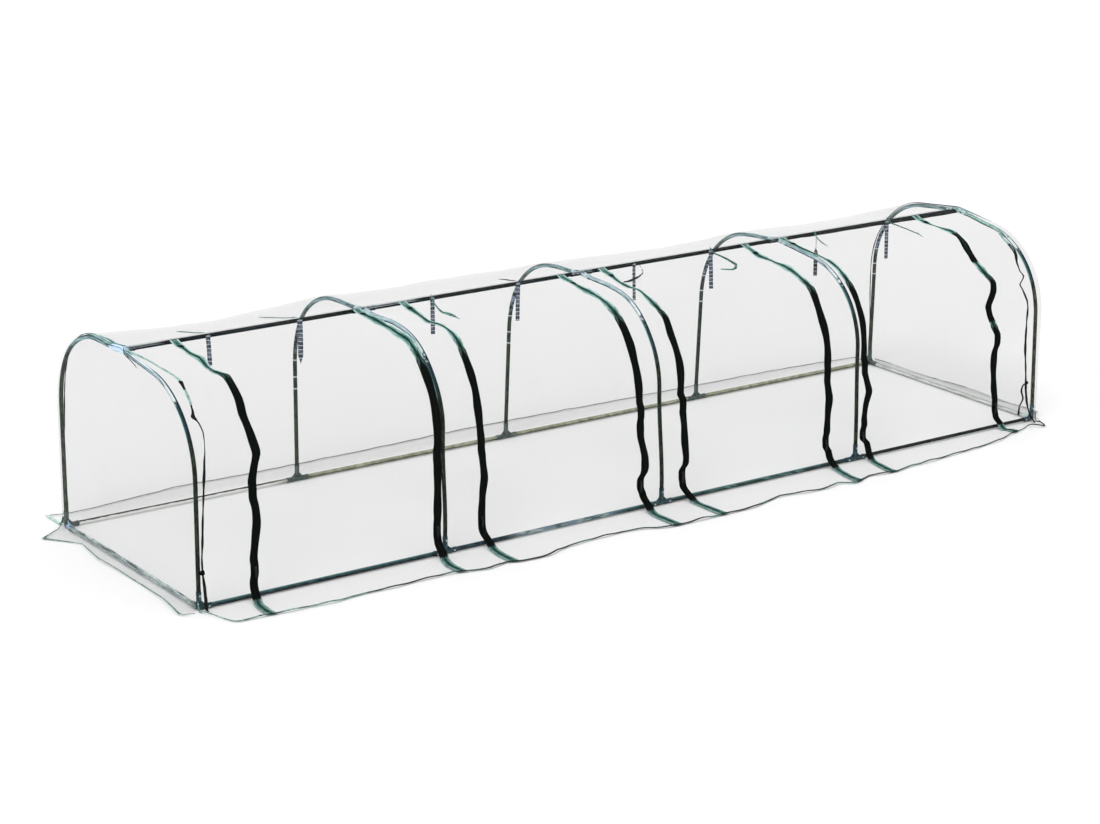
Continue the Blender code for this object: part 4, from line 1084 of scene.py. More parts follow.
def end_points(sx, y, v, h):
    """v is 0 at the arch and 1 at the foot, then up to 2 over the turned-out foot and the skirt."""
    y, v, h = np.broadcast_arrays(np.asarray(y, float), np.asarray(v, float), np.asarray(h, float))
    top = arch_top(y)
    wall = np.clip(v, 0, 1)
    z = top + (END_FOOT_R - top) * wall
    out = np.clip((v - 1) * 2, 0, 1)            # foot curve
    far = np.clip((v - 1.5) * 2, 0, 1.2)        # skirt
    a = out * math.pi / 2
    x = END_X + END_FOOT_R * (1 - np.cos(a)) + far * (SKIRT_X - END_X - END_FOOT_R)
    z = np.where(v > 1, END_FOOT_R * (1 - np.sin(a)), z)
    nx, nz = np.cos(a), np.sin(a)
    # slack: only outwards, none at the seam and the foot
    inside = ease(0.0, 0.12, np.minimum(wall, 1 - wall) * np.maximum(top, 0.05)) * ease(0.0, 0.10, WALL_Y - np.abs(y))
    p = 0.4 if sx < 0 else 1.9
    slack = 0.0045 + 0.0030 * np.sin(5 * y + 4 * z + p) * np.sin(7 * z - 3 * y + p) + 0.0014 * np.sin(21 * y - 11 * z + p) + 0.0006 * np.sin(55 * y + 30 * z)
    dn = inside * slack
    table = END_EDGE[sx]
    reach = np.interp(y * (1 + 0.04 * far), [q[0] for q in table], [q[1] for q in table])
    k = (reach - END_X) / (SKIRT_X - END_X)
    x = np.where(v > 1, END_X + (x - END_X) * np.clip(k, 0.04, 3), x)
    wave = 0.5 + 0.5 * np.sin(13 * y + p)
    z = z + 0.0016 * out + far ** 1.4 * (0.001 + 0.006 * wave)
    return np.stack([sx * (x + (dn + h) * nx), y * (1 + 0.04 * far), z + (dn + h) * nz], -1)


def end_panel(sx, word):
    crown = np.linspace(0, S_CROWN * COS, 12)[:-1]
    arc = YC + R_FILM * np.cos(np.linspace(CROWN, 0.0, 16))
    half = np.concatenate([crown, arc])
    half[-1] = WALL_Y
    ys = np.concatenate([-half[::-1][:-1], half])
    vs = np.concatenate([np.linspace(0, 1, 40), np.linspace(1, 1.5, 6)[1:], np.linspace(1.5, 2.0, 7)[1:]])
    y, v = np.meshgrid(ys, vs)
    film = shell(f"end_panel_{word}_film", end_points(sx, y, v, FILM_T), end_points(sx, y, v, 0.0), FILM_END if sx < 0 else FILM_FAR, y + 1.0, v)
    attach(film, "root")
    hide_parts(f"cover_end_{word}")
    # edging on the skirt
    fine = np.linspace(-WALL_Y, WALL_Y, 130)
    across = np.array([1.948, 1.965, 1.99, 2.008, 2.014])
    high = np.array([0.0010, 0.0013, 0.0013, 0.0010, 0.0004])
    yy, cc = np.meshgrid(fine, across)
    outer = end_points(sx, yy, cc, np.broadcast_to(high[:, None], yy.shape))
    inner = end_points(sx, yy, cc, np.broadcast_to(-0.7 * high[:, None], yy.shape))
    inner[..., 2] = np.maximum(inner[..., 2], 0.0002)
    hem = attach(shell(f"end_panel_{word}_binding", outer, inner, BINDING if sx < 0 else BINDING_FAR, cc, yy + 1.0), "root")


end_panel(-1, "left")
end_panel(1, "right")


# ---- seams that join the ends to the long sheets ------------------------
# Half width in mm and how inky the piping is, down each front seam.
SEAM_WIDE = {-1: [(0, 6.5), (.22, 6.0), (.30, 4.5), (.322, 4.0), (.328, 7.5), (.370, 7.5), (.376, 6.0), (.43, 6.5), (.445, 3.2), (.470, 4.0), (.480, 6.5), (.492, 6.0), (.500, 2.8), (.53, 2.4), (.62, 2.4), (.65, 4.4), (.86, 3.6), (.97, 4.2), (1.08, 4.2), (1.12, 6.0), (1.18, 5.2)],
             1: [(0, 3.6), (.28, 3.8), (.33, 5.4), (.36, 7.0), (.45, 7.0), (.47, 4.0), (.53, 4.2), (.56, 3.8), (.66, 3.6), (.70, 5.4), (1.18, 5.6)]}
SEAM_INK = {-1: [(0, .15), (.324, .15), (.330, 1.0), (.368, 1.0), (.373, .35), (.435, .35), (.445, .85), (.500, .95), (.51, .60), (.60, .55), (.62, 1.0), (1.2, 1.0)],
            1: [(0, .20), (.34, .25), (.385, .55), (.42, .60), (.44, .95), (1.2, 1.0)]}


def seam(word, sx):
    seen = SEAM_COURSE[sx]
    ss = np.concatenate([rows(0.002, S_WALL, 0.005), rows(S_WALL, S_FOOT - 0.004, 0.006)[1:]])
    grid = np.arange(0.0, 1.40, 0.002)
    course = soften(np.interp(grid, [p[0] for p in seen], [p[1] for p in seen]), 0.002, 0.0035)
    pieces = []
    for side in (-1, 1):
        line = np.interp(ss, grid, course)
        wide, ink = np.interp(ss, *zip(*SEAM_WIDE[sx])) / 1000, np.interp(ss, *zip(*SEAM_INK[sx]))
        if side > 0:   # at the back the seam keeps closer to the hoop
            line = sx * (END_X - (0.024 if sx < 0 else 0.011)) - 0.006 * np.sin(9 * ss + sx) * ease(0.05, 0.3, ss) * (1 - ease(0.9, 1.1, ss))
            wide, ink = np.full_like(ss, 0.0022), np.full_like(ss, 0.62)
        wide = wide * (1 + 0.22 * np.sin(31 * ss + sx) + 0.16 * np.sin(83 * ss))
        across = np.array([-1.0, -0.6, 0.0, 0.6, 1.0])
        lift = np.array([0.0004, 0.0018, 0.0024, 0.0018, 0.0004])
        s, a = np.meshgrid(ss, across, indexing="ij")
        x = line[:, None] + a * wide[:, None]
        if side < 0:   # undo the cover's own wander so that the seam runs where it is seen
            dx, _ = wander(x, s)
            x = x - dx
        h = np.broadcast_to(lift[None, :], s.shape) + FILM_T
        outer, inner = place(x, s, h, side), place(x, s, np.full_like(s, FILM_T), side)
        v, f = shell_parts(outer, inner)
        uv = np.stack([np.broadcast_to(ink[:, None], s.shape), s], -1).reshape(-1, 2)
        pieces.append((v, f, np.concatenate([uv, uv])))
    verts, faces, uvs = merge(pieces)
    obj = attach(add(f"end_seam_{word}", verts, faces, PIPING, uvs), "root")
    return obj


def hem(word, sx, wide):
    """The seam's allowance, gathered over the end hoop's crown. wide gives its width at places over the ridge, back to front."""
    reach_back, reach_front = -wide[0][0], wide[-1][0]
    run = np.concatenate([-np.linspace(reach_back, 0.004, int(reach_back / 0.006)), np.linspace(0.004, reach_front, int(reach_front / 0.006))])
    across = np.linspace(0, 1, 11)
    rr, aa = np.meshgrid(run, across, indexing="ij")
    width = np.interp(rr, [q[0] for q in wide], [q[1] for q in wide])
    x = sx * (END_X - 0.0005 - aa * width * (1 + 0.10 * np.sin(37 * rr)))
    fold = 0.0010 + 0.0016 * np.abs(np.sin(aa * 11 + 3 * np.sin(9 * rr))) * np.clip(width / 0.02, 0, 1)
    ss = np.abs(rr)

    def on(h):
        dx, _ = wander(x, ss)
        front, back = place(x - dx, ss, h, -1), place(x, ss, h, 1)
        return np.where((rr < 0)[..., None], back, front)

    obj = shell(f"end_hem_{word}", on(fold + 0.0005), on(np.full_like(fold, FILM_T + 0.0001)), HEM if sx < 0 else HEM_FAR, aa * width, rr + 1.0)
    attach(obj, "root")
    broadest = max(q[1] for q in wide)


def hem_turn():
    """A lap of the left hem folded down over the end panel below the ridge; it mirrors the sky."""
    ys = np.linspace(-0.052, 0.082, 30)
    vs = np.array([0.0015, 0.004, 0.008, 0.012, 0.0155, 0.0175])
    y, v = np.meshgrid(ys, vs)
    taper = ease(-0.052, -0.030, y) * (1 - ease(0.060, 0.082, y))
    v = 0.0012 + (v - 0.0012) * (0.15 + 0.85 * taper)
    h = 0.0016 + 0.0012 * np.abs(np.sin(300 * v + 20 * y))
    obj = shell("end_hem_left_lap", end_points(-1, y, v, h), end_points(-1, y, v, np.full_like(h, FILM_T + 0.0001)), HEM, v * 0.8, y * 0 + 0.985)
    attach(obj, "root")


seam("left", -1)
seam("right", 1)
hem_turn()
hem("left", -1, [(-.300, .004), (-.250, .012), (-.200, .025), (-.060, .027), (.000, .027), (.035, .016), (.070, .010), (.200, .006), (.250, .004)])
hem("right", 1, [(-.260, .004), (-.200, .010), (-.050, .011), (.060, .009), (.200, .004)])


def foot_gather(word, sx, mat):
    """Film bunched along an end panel's foot, over the end rail."""
    ys = np.linspace(-WALL_Y + 0.012, WALL_Y - 0.058, 150)
    vs = np.array([0.984, 0.990, 0.996, 1.03, 1.07, 1.11, 1.15, 1.19, 1.22])
    y, v = np.meshgrid(ys, vs)
    pucker = np.abs(np.sin(v * 46 + 1.5 * np.sin(6 * y) + 0.8 * np.sin(23 * y)))
    h = 0.0007 + 0.0014 * pucker * ease(0.984, 0.996, v) * (1 - ease(1.18, 1.22, v))
    obj = shell(f"end_foot_gather_{word}", end_points(sx, y, v, h + 0.0005), end_points(sx, y, v, h * 0.3), mat, v * 0.06, y + 1.0)
    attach(obj, "root")


def gather_material(name, pale, deep, thick):
    """Folds of clear film with the print of their stitching: pale streaks, painted glare on the folds, and thin dark
    lines.
    """
    p = Paint(name, 0.4, 0.0, 0.2)
    u, v, _ = p.split("UV")
    fold = p.noise(16.0, 3.0, 0.65, "UV", 0.5, stretch=(26.0, 1.0, 1.0))
    line = p.noise(8.0, 2.0, 0.6, "UV", 0.3, stretch=(80.0, 1.0, 1.0))
    fleck = p.noise(120.0, 3.0, 0.7)
    thread = p.math("MULTIPLY", p.steps(line, 0.53, 0.58), thick)
    # Pale streaks: painted glare on the folds.
    body = p.mix(pale, deep, p.steps(p.math("ADD", fold, p.math("MULTIPLY", p.math("SUBTRACT", fleck, 0.5), 0.4)), 0.47, 0.54))
    body = p.mix(body, (0.10, 0.30, 0.26), p.math("MULTIPLY", p.steps(fleck, 0.57, 0.66), 0.5))
    body = p.mix(body, (0.035, 0.060, 0.060), p.steps(thread, 0.1, 0.3))
    p.colour(body)
    shade = p.math("MULTIPLY", p.math("ADD", 0.30, p.math("MULTIPLY", p.steps(fleck, 0.44, 0.56), 0.50)), thick)
    p.link(p.math("MAXIMUM", shade, thread), p.out.inputs["Alpha"])
    p.bump(fold, 0.6, 0.0015)
    return p.m


foot_gather("left", -1, gather_material("gathered_foot", (0.72, 0.79, 0.79), (0.28, 0.34, 0.33), 0.46))


def side_edge(name, x, side, mat=None, half=0.0024):
    """Edging down the free side of a skirt."""
    ss = np.linspace(S_WALL + 0.02, S_EDGE - 0.001, 26)
    across = np.array([-1.0, -0.6, 0.0, 0.6, 1.0]) * half
    high = np.array([0.0004, 0.0010, 0.0012, 0.0010, 0.0004]) + FILM_T
    s_, a = np.meshgrid(ss, across, indexing="ij")
    h = np.broadcast_to(high[None, :], s_.shape)
    low = place(x + a, s_, np.full_like(s_, -0.0006), side)
    low[..., 2] = np.maximum(low[..., 2], 0.0002)
    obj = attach(shell(name, place(x + a, s_, h, side), low, mat or BINDING, a + 0.01, s_ + 0.2), "root")


side_edge("back_skirt_side_left", -END_X + 0.0075, 1, BINDING_PALE, 0.0070)
side_edge("back_skirt_side_right", END_X - 0.002, 1)
side_edge("front_skirt_side_left", -END_X + 0.002, -1)
side_edge("front_skirt_side_right", END_X - 0.003, -1, STOP, 0.0034)


# ---- tubes --------------------------------------------------------------
# How far each half hoop leans along the tunnel at its shoulder, back and front.
LEAN = {1: [0.0, 0.0, 0.016, 0.018, 0.006], -1: [0.0, 0.015, 0.0, 0.0, -0.013]}
# How far each front foot stands to the right of its place.
FOOT_OUT = [0.0, 0.021, 0.020, 0.009, 0.0]


def half_hoop(x, s):
    points = [(x, s * HALF_WIDTH, z) for z in np.linspace(BASE_Z + TUBE_GAP, CORNER_Z - 0.004, 12)]
    for a in np.linspace(0, CROWN, 30):
        r = CORNER_R + float(swell(np.array(x), np.array(S_CROWN + (CROWN - a) * R_FILM), s))
        points.append((x, s * (YC + r * math.cos(a)), CORNER_Z + r * math.sin(a)))
    end = np.array([x, s * TUBE_GAP * COS, RIDGE_Z - TUBE_GAP * SIN])
    last = np.array([x, s * (YC + CORNER_R * math.cos(CROWN)), CORNER_Z + CORNER_R * math.sin(CROWN)])
    for t in np.linspace(0, 1, 10)[1:]:
        p = last + (end - last) * t
        rise = float(swell(np.array(x), np.array(abs(p[1]) / COS), s))
        points.append((x, p[1] + s * rise * SIN, p[2] + rise * COS))
    points = np.array(points)
    lean = LEAN[s][int(np.argmin(np.abs(HOOPS - x)))]
    points[:, 0] += lean * np.clip((points[:, 2] - 0.070) / 0.45, 0, 1) * ease(0.058, 0.20, np.abs(points[:, 1]))
    if s < 0:
        points[:, 0] += FOOT_OUT[int(np.argmin(np.abs(HOOPS - x)))] * (1 - ease(0.075, 0.46, points[:, 2]))
    return points


def tube(name, points, mat, node):
    points = np.asarray(points, float)
    # a small chamfer at each cut end
    t0 = (points[1] - points[0]) / np.linalg.norm(points[1] - points[0])
    t1 = (points[-2] - points[-1]) / np.linalg.norm(points[-2] - points[-1])
    points = np.vstack([points[0], points[0] + t0 * 0.0006, points[1:-1], points[-1] + t1 * 0.0006, points[-1]])
    radii = np.full(len(points), TUBE_R)
    radii[0] = radii[-1] = TUBE_R - 0.0006
    v, f, uv = cross_sections(points, radii, 22)
    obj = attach(add(name, v, f, mat, uv, 40), "root")
    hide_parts(node)
    return obj


for i, x in enumerate(HOOPS):
    tube(f"hoop_{i + 1}_front", half_hoop(x, -1), TUBE_OLIVE if i == 4 else TUBE_FRONT, f"hoop_{i + 1}_front_tube")
    tube(f"hoop_{i + 1}_back", half_hoop(x, 1), TUBE_BACK, f"hoop_{i + 1}_back_tube")


def straight(a, b, count=14):
    return np.linspace(a, b, count)


for i in range(4):
    a, b = HOOPS[i] + TUBE_GAP, HOOPS[i + 1] - TUBE_GAP
    tube(f"ridge_{i + 1}", straight((a, 0, RIDGE_Z), (b, 0, RIDGE_Z)), TUBE_RIDGE, f"ridge_tube_{i + 1}")
    tube(f"rail_front_{i + 1}", straight((a + FOOT_OUT[i], -HALF_WIDTH, BASE_Z), (b + FOOT_OUT[i + 1], -HALF_WIDTH, BASE_Z)), RAIL_FRONT, f"front_rail_{i + 1}")
    tube(f"rail_back_{i + 1}", straight((a, HALF_WIDTH, BASE_Z), (b, HALF_WIDTH, BASE_Z)), RAIL_BACK, f"back_rail_{i + 1}")
for word, x in (("left", HOOPS[0]), ("right", HOOPS[-1])):
    tube(f"rail_end_{word}", straight((x, -HALF_WIDTH + TUBE_GAP, BASE_Z), (x, HALF_WIDTH - TUBE_GAP, BASE_Z)), RAIL_END if word == "left" else RAIL_FAR, f"end_rail_{word}")


# ---- push-fit joints ----------------------------------------------------
def arm_solid(direction, length, base=-0.004, sides=28):
    """One socket: ribs near the middle, a collar at the mouth, and the bore the tube slides into. Closed."""
    d = Vector(direction).normalized()
    prof = [(base, 0.0), (base, 0.0070), (base + 0.0020, 0.0091), (0.014, 0.0093), (0.0150, 0.0099), (0.0165, 0.0099), (0.0175, 0.0093),
            (0.020, 0.0093), (0.0210, 0.0099), (0.0225, 0.0099), (0.0235, 0.0093), (length - 0.0080, 0.0092), (length - 0.0070, 0.00995),
            (length - 0.0012, 0.00995), (length, 0.0094), (length, 0.0086), (length - 0.0010, 0.0083), (0.0115, 0.0083), (0.0115, 0.0)]
    a = np.arange(sides) / sides * 2 * math.pi
    turn = np.array(d.to_track_quat("Z", "Y").to_matrix())
    verts, faces, rings = [], [], []
    for z, r in prof:
        if r == 0.0:
            rings.append([len(verts)])
            verts.append((0, 0, z))
        else:
            rings.append(list(range(len(verts), len(verts) + sides)))
            verts += [(r * math.cos(t), r * math.sin(t), z) for t in a]
    for p, q in zip(rings, rings[1:]):
        for j in range(sides):
            k = (j + 1) % sides
            if len(p) == 1:
                faces.append((p[0], q[k], q[j]))
            elif len(q) == 1:
                faces.append((p[j], p[k], q[0]))
            else:
                faces.append((p[j], p[k], q[k], q[j]))
    return np.array(verts) @ turn.T, faces


def web(d1, d2, size=0.024, thick=0.0036):
    """A gusset between two sockets."""
    a, b = np.array(Vector(d1).normalized()), np.array(Vector(d2).normalized())
    n = np.cross(a, b)
    n /= np.linalg.norm(n)
    flat = [a * 0.002 + b * 0.002, a * size + b * 0.0060, a * size + b * 0.0085, a * 0.0085 + b * size, a * 0.0060 + b * size]
    verts = [p + n * thick / 2 for p in flat] + [p - n * thick / 2 for p in flat]
    k = len(flat)
    faces = [tuple(range(k)), tuple(range(2 * k - 1, k - 1, -1))] + [(i, i + k, (i + 1) % k + k, (i + 1) % k) for i in range(k)]
    return np.array(verts), faces


def joint_mesh(name, arms, webs):
    made = []
    for verts, faces in [arm_solid(d, length) for d, length in arms] + [web(a, b) for a, b in webs]:
        mesh = bpy.data.meshes.new("part")
        mesh.from_pydata([tuple(v) for v in verts], [], faces)
        mesh.update()
        ob = bpy.data.objects.new("part", mesh)
        bpy.context.scene.collection.objects.link(ob)
        made.append(ob)
    for other in made[1:]:
        m = made[0].modifiers.new("join", "BOOLEAN")
        m.operation, m.solver, m.object = "UNION", "EXACT", other
    bpy.context.view_layer.update()
    graph = bpy.context.evaluated_depsgraph_get()
    mesh = bpy.data.meshes.new_from_object(made[0].evaluated_get(graph), depsgraph=graph)
    mesh.name = name
    for ob in made:
        bpy.data.objects.remove(ob)
    mesh.shade_smooth()
    mesh.set_sharp_from_angle(angle=math.radians(35))
    mesh.materials.clear()
    mesh.materials.append(JOINT)
    return mesh


def put_joint(name, mesh, at, node):
    obj = bpy.data.objects.new(name, mesh.copy())
    obj.data.transform(Matrix.Translation(Vector(at)))
    if at[1] > 0.1:
        obj.data.materials[0] = JOINT_BACK
    if at[2] > 0.5:
        obj.data.materials[0] = JOINT_RIDGE
    elif at[0] > 1.9 and at[1] < 0:
        obj.data.materials[0] = JOINT_FAR
    bpy.context.scene.collection.objects.link(obj)
    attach(obj, "root")
    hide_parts(node)
    return obj


LEG_LEN = LEG_ARM - BASE_Z
button_at = []
for word, x, sx in (("left", HOOPS[0], 1), ("right", HOOPS[-1], -1)):
    for side, y, sy in (("front", -HALF_WIDTH, 1), ("back", HALF_WIDTH, -1)):
        mesh = joint_mesh(f"corner_{side}_{word}", [((sx, 0, 0), ARM), ((0, sy, 0), ARM), ((0, 0, 1), LEG_LEN)], [((sx, 0, 0), (0, 0, 1)), ((0, sy, 0), (0, 0, 1))])
        put_joint(f"corner_{side}_{word}", mesh, (x, y, BASE_Z), f"corner_joint_{side}_{word}")
        button_at += [((x, y, BASE_Z + LEG_LEN - 0.0130), (0, -sy, 0)), ((x + sx * 0.036, y, BASE_Z), (0, -sy, 0)), ((x, y + sy * 0.036, BASE_Z), (-sx, 0, 0))]
tee = joint_mesh("tee", [((1, 0, 0), ARM), ((-1, 0, 0), ARM), ((0, 0, 1), LEG_LEN)], [((1, 0, 0), (0, 0, 1)), ((-1, 0, 0), (0, 0, 1))])
for i in (1, 2, 3):
    for side, y in (("front", -HALF_WIDTH), ("back", HALF_WIDTH)):
        x = HOOPS[i] + (FOOT_OUT[i] if y < 0 else 0.0)
        put_joint(f"tee_{side}_{i + 1}", tee, (x, y, BASE_Z), f"base_tee_{side}_{i + 1}")
        out = (0, -1 if y < 0 else 1, 0)
        button_at += [((x, y, BASE_Z + LEG_LEN - 0.0130), out), ((x - 0.036, y, BASE_Z), out), ((x + 0.036, y, BASE_Z), out)]
fall = {s: (0, s * COS, -SIN) for s in (-1, 1)}
for word, x, sx in (("left", HOOPS[0], 1), ("right", HOOPS[-1], -1)):
    mesh = joint_mesh(f"ridge_{word}", [((sx, 0, 0), ARM), (fall[-1], HOOP_ARM), (fall[1], HOOP_ARM)], [((sx, 0, 0), fall[-1]), ((sx, 0, 0), fall[1])])
    put_joint(f"ridge_joint_{word}", mesh, (x, 0, RIDGE_Z), f"ridge_tee_{word}")
cross = joint_mesh("ridge_cross", [((1, 0, 0), ARM), ((-1, 0, 0), ARM), (fall[-1], HOOP_ARM), (fall[1], HOOP_ARM)], [((1, 0, 0), fall[-1]), ((-1, 0, 0), fall[1])])
for i in (1, 2, 3):
    put_joint(f"ridge_joint_{i + 1}", cross, (HOOPS[i], 0, RIDGE_Z), f"ridge_cross_{i + 1}")


def buttons():
    """The sprung buttons that lock each tube in its socket: a low dome in a ring."""
    pieces = []
    for at, out in button_at:
        o = np.array(out, float)
        a = np.cross(o, [0, 0, 1.0])
        b = np.cross(a, o)
        rings, sides = [(0.0094, 0.0031), (0.01010, 0.0031), (0.01012, 0.0026), (0.01030, 0.0024), (0.01052, 0.0017), (0.01062, 0.0009)], 14
        t = np.arange(sides) / sides * 2 * math.pi
        verts, faces = [], []
        for d, r in rings:
            verts += [np.array(at) + o * d + r * (math.cos(q) * a + math.sin(q) * b) for q in t]
        for i in range(len(rings) - 1):
            for j in range(sides):
                k = (j + 1) % sides
                faces.append((i * sides + j, i * sides + k, (i + 1) * sides + k, (i + 1) * sides + j))
        faces += [tuple(range(sides))[::-1], tuple((len(rings) - 1) * sides + j for j in range(sides))]
        verts = np.array(verts)
        if np.dot(np.cross(a, b), o) < 0:
            faces = [f[::-1] for f in faces]
        pieces.append((verts, faces, np.zeros((len(verts), 2))))
    v, f, uv = merge(pieces)
    return add("spring_buttons", v, f, BUTTON, uv, 40)


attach(buttons(), "root")


# ---- ridge tape and tie ribbons -----------------------------------------
def ridge_band():
    """The clear band that closes the lap over the ridge."""
    xs = np.linspace(-END_X, END_X, 230)
    across = np.array([-0.0128, -0.0118, -0.0060, -0.0005, 0.0040, 0.0052])
    x, s = np.meshgrid(xs, across)
    high = np.array([0.0009, 0.0011, 0.0011, 0.0011, 0.0011, 0.0009])[:, None] + np.zeros_like(x)
    return shell("ridge_seam_band", place(x, s, high, 1), place(x, s, np.full_like(x, FILM_T + 0.0001), 1), RIDGE_SEAM, s + 0.0128, x + 3)


def ridge_allowance():
    """The seam's spare edge hangs inside, just in front of the ridge tubes, deeper towards the far end."""
    xs = np.linspace(-END_X + 0.03, END_X - 0.02, 230)
    drop = 0.0030 + 0.0120 * ease(0.98, 1.16, xs) + 0.0040 * ease(1.45, 1.80, xs) + 0.0008 * np.sin(9 * xs) + 0.0005 * np.sin(41 * xs)
    t = np.linspace(0, 1, 5)
    xx, tt = np.meshgrid(xs, t)
    front_y = -0.0128 - 0.0012 * tt * (1 + np.sin(7 * xx))
    zz = (APEX - 0.0128 * math.tan(SLOPE)) - 0.0006 - tt * drop[None, :]
    face = np.stack([xx, front_y, zz], -1)
    return shell("ridge_seam_allowance", face, face + np.array([0, 0.0006, 0]), ALLOWANCE, tt * 0.01, xx + 3)


ALLOWANCE = trim_material("ridge_allowance", (0.002, 0.005, 0.005), (0.012, 0.040, 0.048), 0.62)
band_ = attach(ridge_band(), "root")
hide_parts("ridge_tie_tape")
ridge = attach(ridge_allowance(), "root")


def ribbon(name, centres, wide, mat, width=0.016, thick=0.0006, point=0.0):
    """A flat ribbon along centres, wide being its width's direction at each; point is how much the far end narrows."""
    centres, wide = np.asarray(centres, float), np.asarray(wide, float)
    tangent = np.gradient(centres, axis=0)
    tangent /= np.linalg.norm(tangent, axis=1, keepdims=True)
    wide = wide - tangent * np.sum(wide * tangent, axis=1, keepdims=True)
    wide /= np.linalg.norm(wide, axis=1, keepdims=True)
    normal = np.cross(tangent, wide)
    across = np.array([-0.5, -0.42, -0.15, 0.15, 0.42, 0.5])
    bead = np.array([0.6, 1.15, 0.9, 0.9, 1.15, 0.6])
    run = np.concatenate([[0], np.cumsum(np.linalg.norm(np.diff(centres, axis=0), axis=1))])
    taper = 1 - point * ease(0.80, 1.0, run / run[-1])
    mid = centres[:, None, :] + wide[:, None, :] * (across * width)[None, :, None] * taper[:, None, None]
    off = normal[:, None, :] * (bead * thick / 2)[None, :, None]
    v, u = np.meshgrid(run, (across + 0.5) * width, indexing="ij")
    return shell(name, mid + off, mid - off, mat, u, v), float(run[-1])


IN_LENGTH = [0.115, 0.165, 0.142, 0.150, 0.151, 0.158, 0.180, 0.163]
IN_WIDTH = [0.016, 0.019, 0.016, 0.016, 0.012, 0.016, 0.016, 0.016]
IN_TURN = [-0.60, -0.62, -0.55, -0.42, -0.60, -0.50, -0.45, -0.35]
for k, (x, length) in enumerate(zip(TIES, IN_LENGTH)):
    t = np.linspace(0, 1, 26)
    p = 1.3 * k
    top = APEX - 0.0128 * math.tan(SLOPE) - 0.001
    sway = 0.004 * np.sin(2.2 * t + p) * t
    centres = np.stack([x + sway + 0.003 * t * math.sin(3 * p), -0.0150 - 0.0035 * t * (1 + math.sin(p)) - 0.0012 * np.sin(6 * t + p) * t, top - length * t], -1)
    ang = IN_TURN[k] + 0.16 * np.sin(5 * t + p) * t
    if k == 6:   # it hangs on edge at first
        ang = ang + (math.atan2(TO_CAMERA.y, TO_CAMERA.x) - IN_TURN[k]) * (1 - ease(0.36, 0.50, t))
    wide = np.stack([np.cos(ang), np.sin(ang), np.zeros_like(t)], -1)
    obj, run = ribbon(f"tie_ribbon_{k + 1}_inside", centres, wide, RIBBON_GREY if k == 6 else RIBBON, IN_WIDTH[k], point=0.85 if k == 1 else 0.0)
    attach(obj, "root")

# Outer ends: (back or front, the places it passes as (x, distance down the cover), how broadly it shows at each, how far it narrows)
OUT = [
    (1, [(-1.648, 0.004), (-1.664, 0.030), (-1.676, 0.075), (-1.690, 0.125)], [0.0, 0.0, 0.0, 0.0], 0.5),
    (1, [(-1.268, 0.004), (-1.300, 0.025), (-1.332, 0.070), (-1.362, 0.110)], [0.0, 0.0, 0.0, 0.0], 0.5),
    (-1, [(-0.700, 0.016), (-0.728, 0.075), (-0.749, 0.150), (-0.741, 0.195), (-0.728, 0.252)], [0.30, 0.22, 0.35, 0.65, 0.55], 0.85),
    (1, [(-0.309, 0.004), (-0.316, 0.030), (-0.314, 0.060), (-0.322, 0.092)], [0.0, 0.0, 0.0, 0.0], 0.5),
    (-1, [(0.252, 0.016), (0.236, 0.062), (0.216, 0.098), (0.196, 0.132), (0.160, 0.154), (0.120, 0.164), (0.082, 0.168)], [0.20, 0.12, 0.10, 0.12, 0.35, 0.55, 0.60], 0.6),
    (-1, [(0.620, 0.016), (0.602, 0.075), (0.598, 0.140), (0.590, 0.200), (0.580, 0.232), (0.555, 0.241), (0.508, 0.230)], [0.30, 0.28, 0.34, 0.40, 0.55, 0.45, 0.40], 0.3),
    (-1, [(1.165, 0.016), (1.135, 0.060), (1.114, 0.120), (1.106, 0.176)], [0.45, 0.40, 0.42, 0.30], 0.9),
    (-1, [(1.556, 0.016), (1.540, 0.080), (1.538, 0.150), (1.536, 0.205), (1.540, 0.258)], [0.35, 0.22, 0.14, 0.10, 0.08], 0.8),
]


def on_cover(path, side):
    line = smooth_line(path, 46)
    x, s, q = line[:, 0], line[:, 1], np.clip(line[:, 2], 0, 1)
    if side < 0:
        xr, sr = seen_to_real(x, s)
        x, s = x + (xr - x) * ease(0.02, 0.10, s), s + (sr - s) * ease(0.02, 0.10, s)
        dx, _ = wander(x, s)
        x = x - dx
    return x, s, q


for k, (side, path, shows, point) in enumerate(OUT):
    x, s, q = on_cover([(p[0], p[1], b) for p, b in zip(path, shows)], side)
    here, out = place(x, s, 0.0, side), place(x, s, 0.01, side)
    normal = (out - here) / np.linalg.norm(out - here, axis=1, keepdims=True)
    tangent = np.gradient(here, axis=0)
    tangent /= np.linalg.norm(tangent, axis=1, keepdims=True)
    if side > 0:
        wide = np.cross(normal, tangent)
    else:   # twisted, so that it shows only part of its width
        deep = np.array([TO_CAMERA.x, TO_CAMERA.y, TO_CAMERA.z])
        deep = deep - tangent * np.sum(deep * tangent, axis=1, keepdims=True)
        deep /= np.linalg.norm(deep, axis=1, keepdims=True)
        wide = deep * np.sqrt(1 - q ** 2)[:, None] + np.cross(deep, tangent) * q[:, None] * (1 if k % 2 else -1)
    lift = 0.0016 + 0.0080 * np.abs(np.sum(wide * normal, axis=1))
    here = here + normal * lift[:, None]
    obj, run = ribbon(f"tie_ribbon_{k + 1}_outside", here, wide, RIBBON_OUT if k in (0, 1, 2, 5, 6, 7) else RIBBON_DARK, point=point)
    if side < 0:
        with_door(obj)
    else:
        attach(obj, "root")

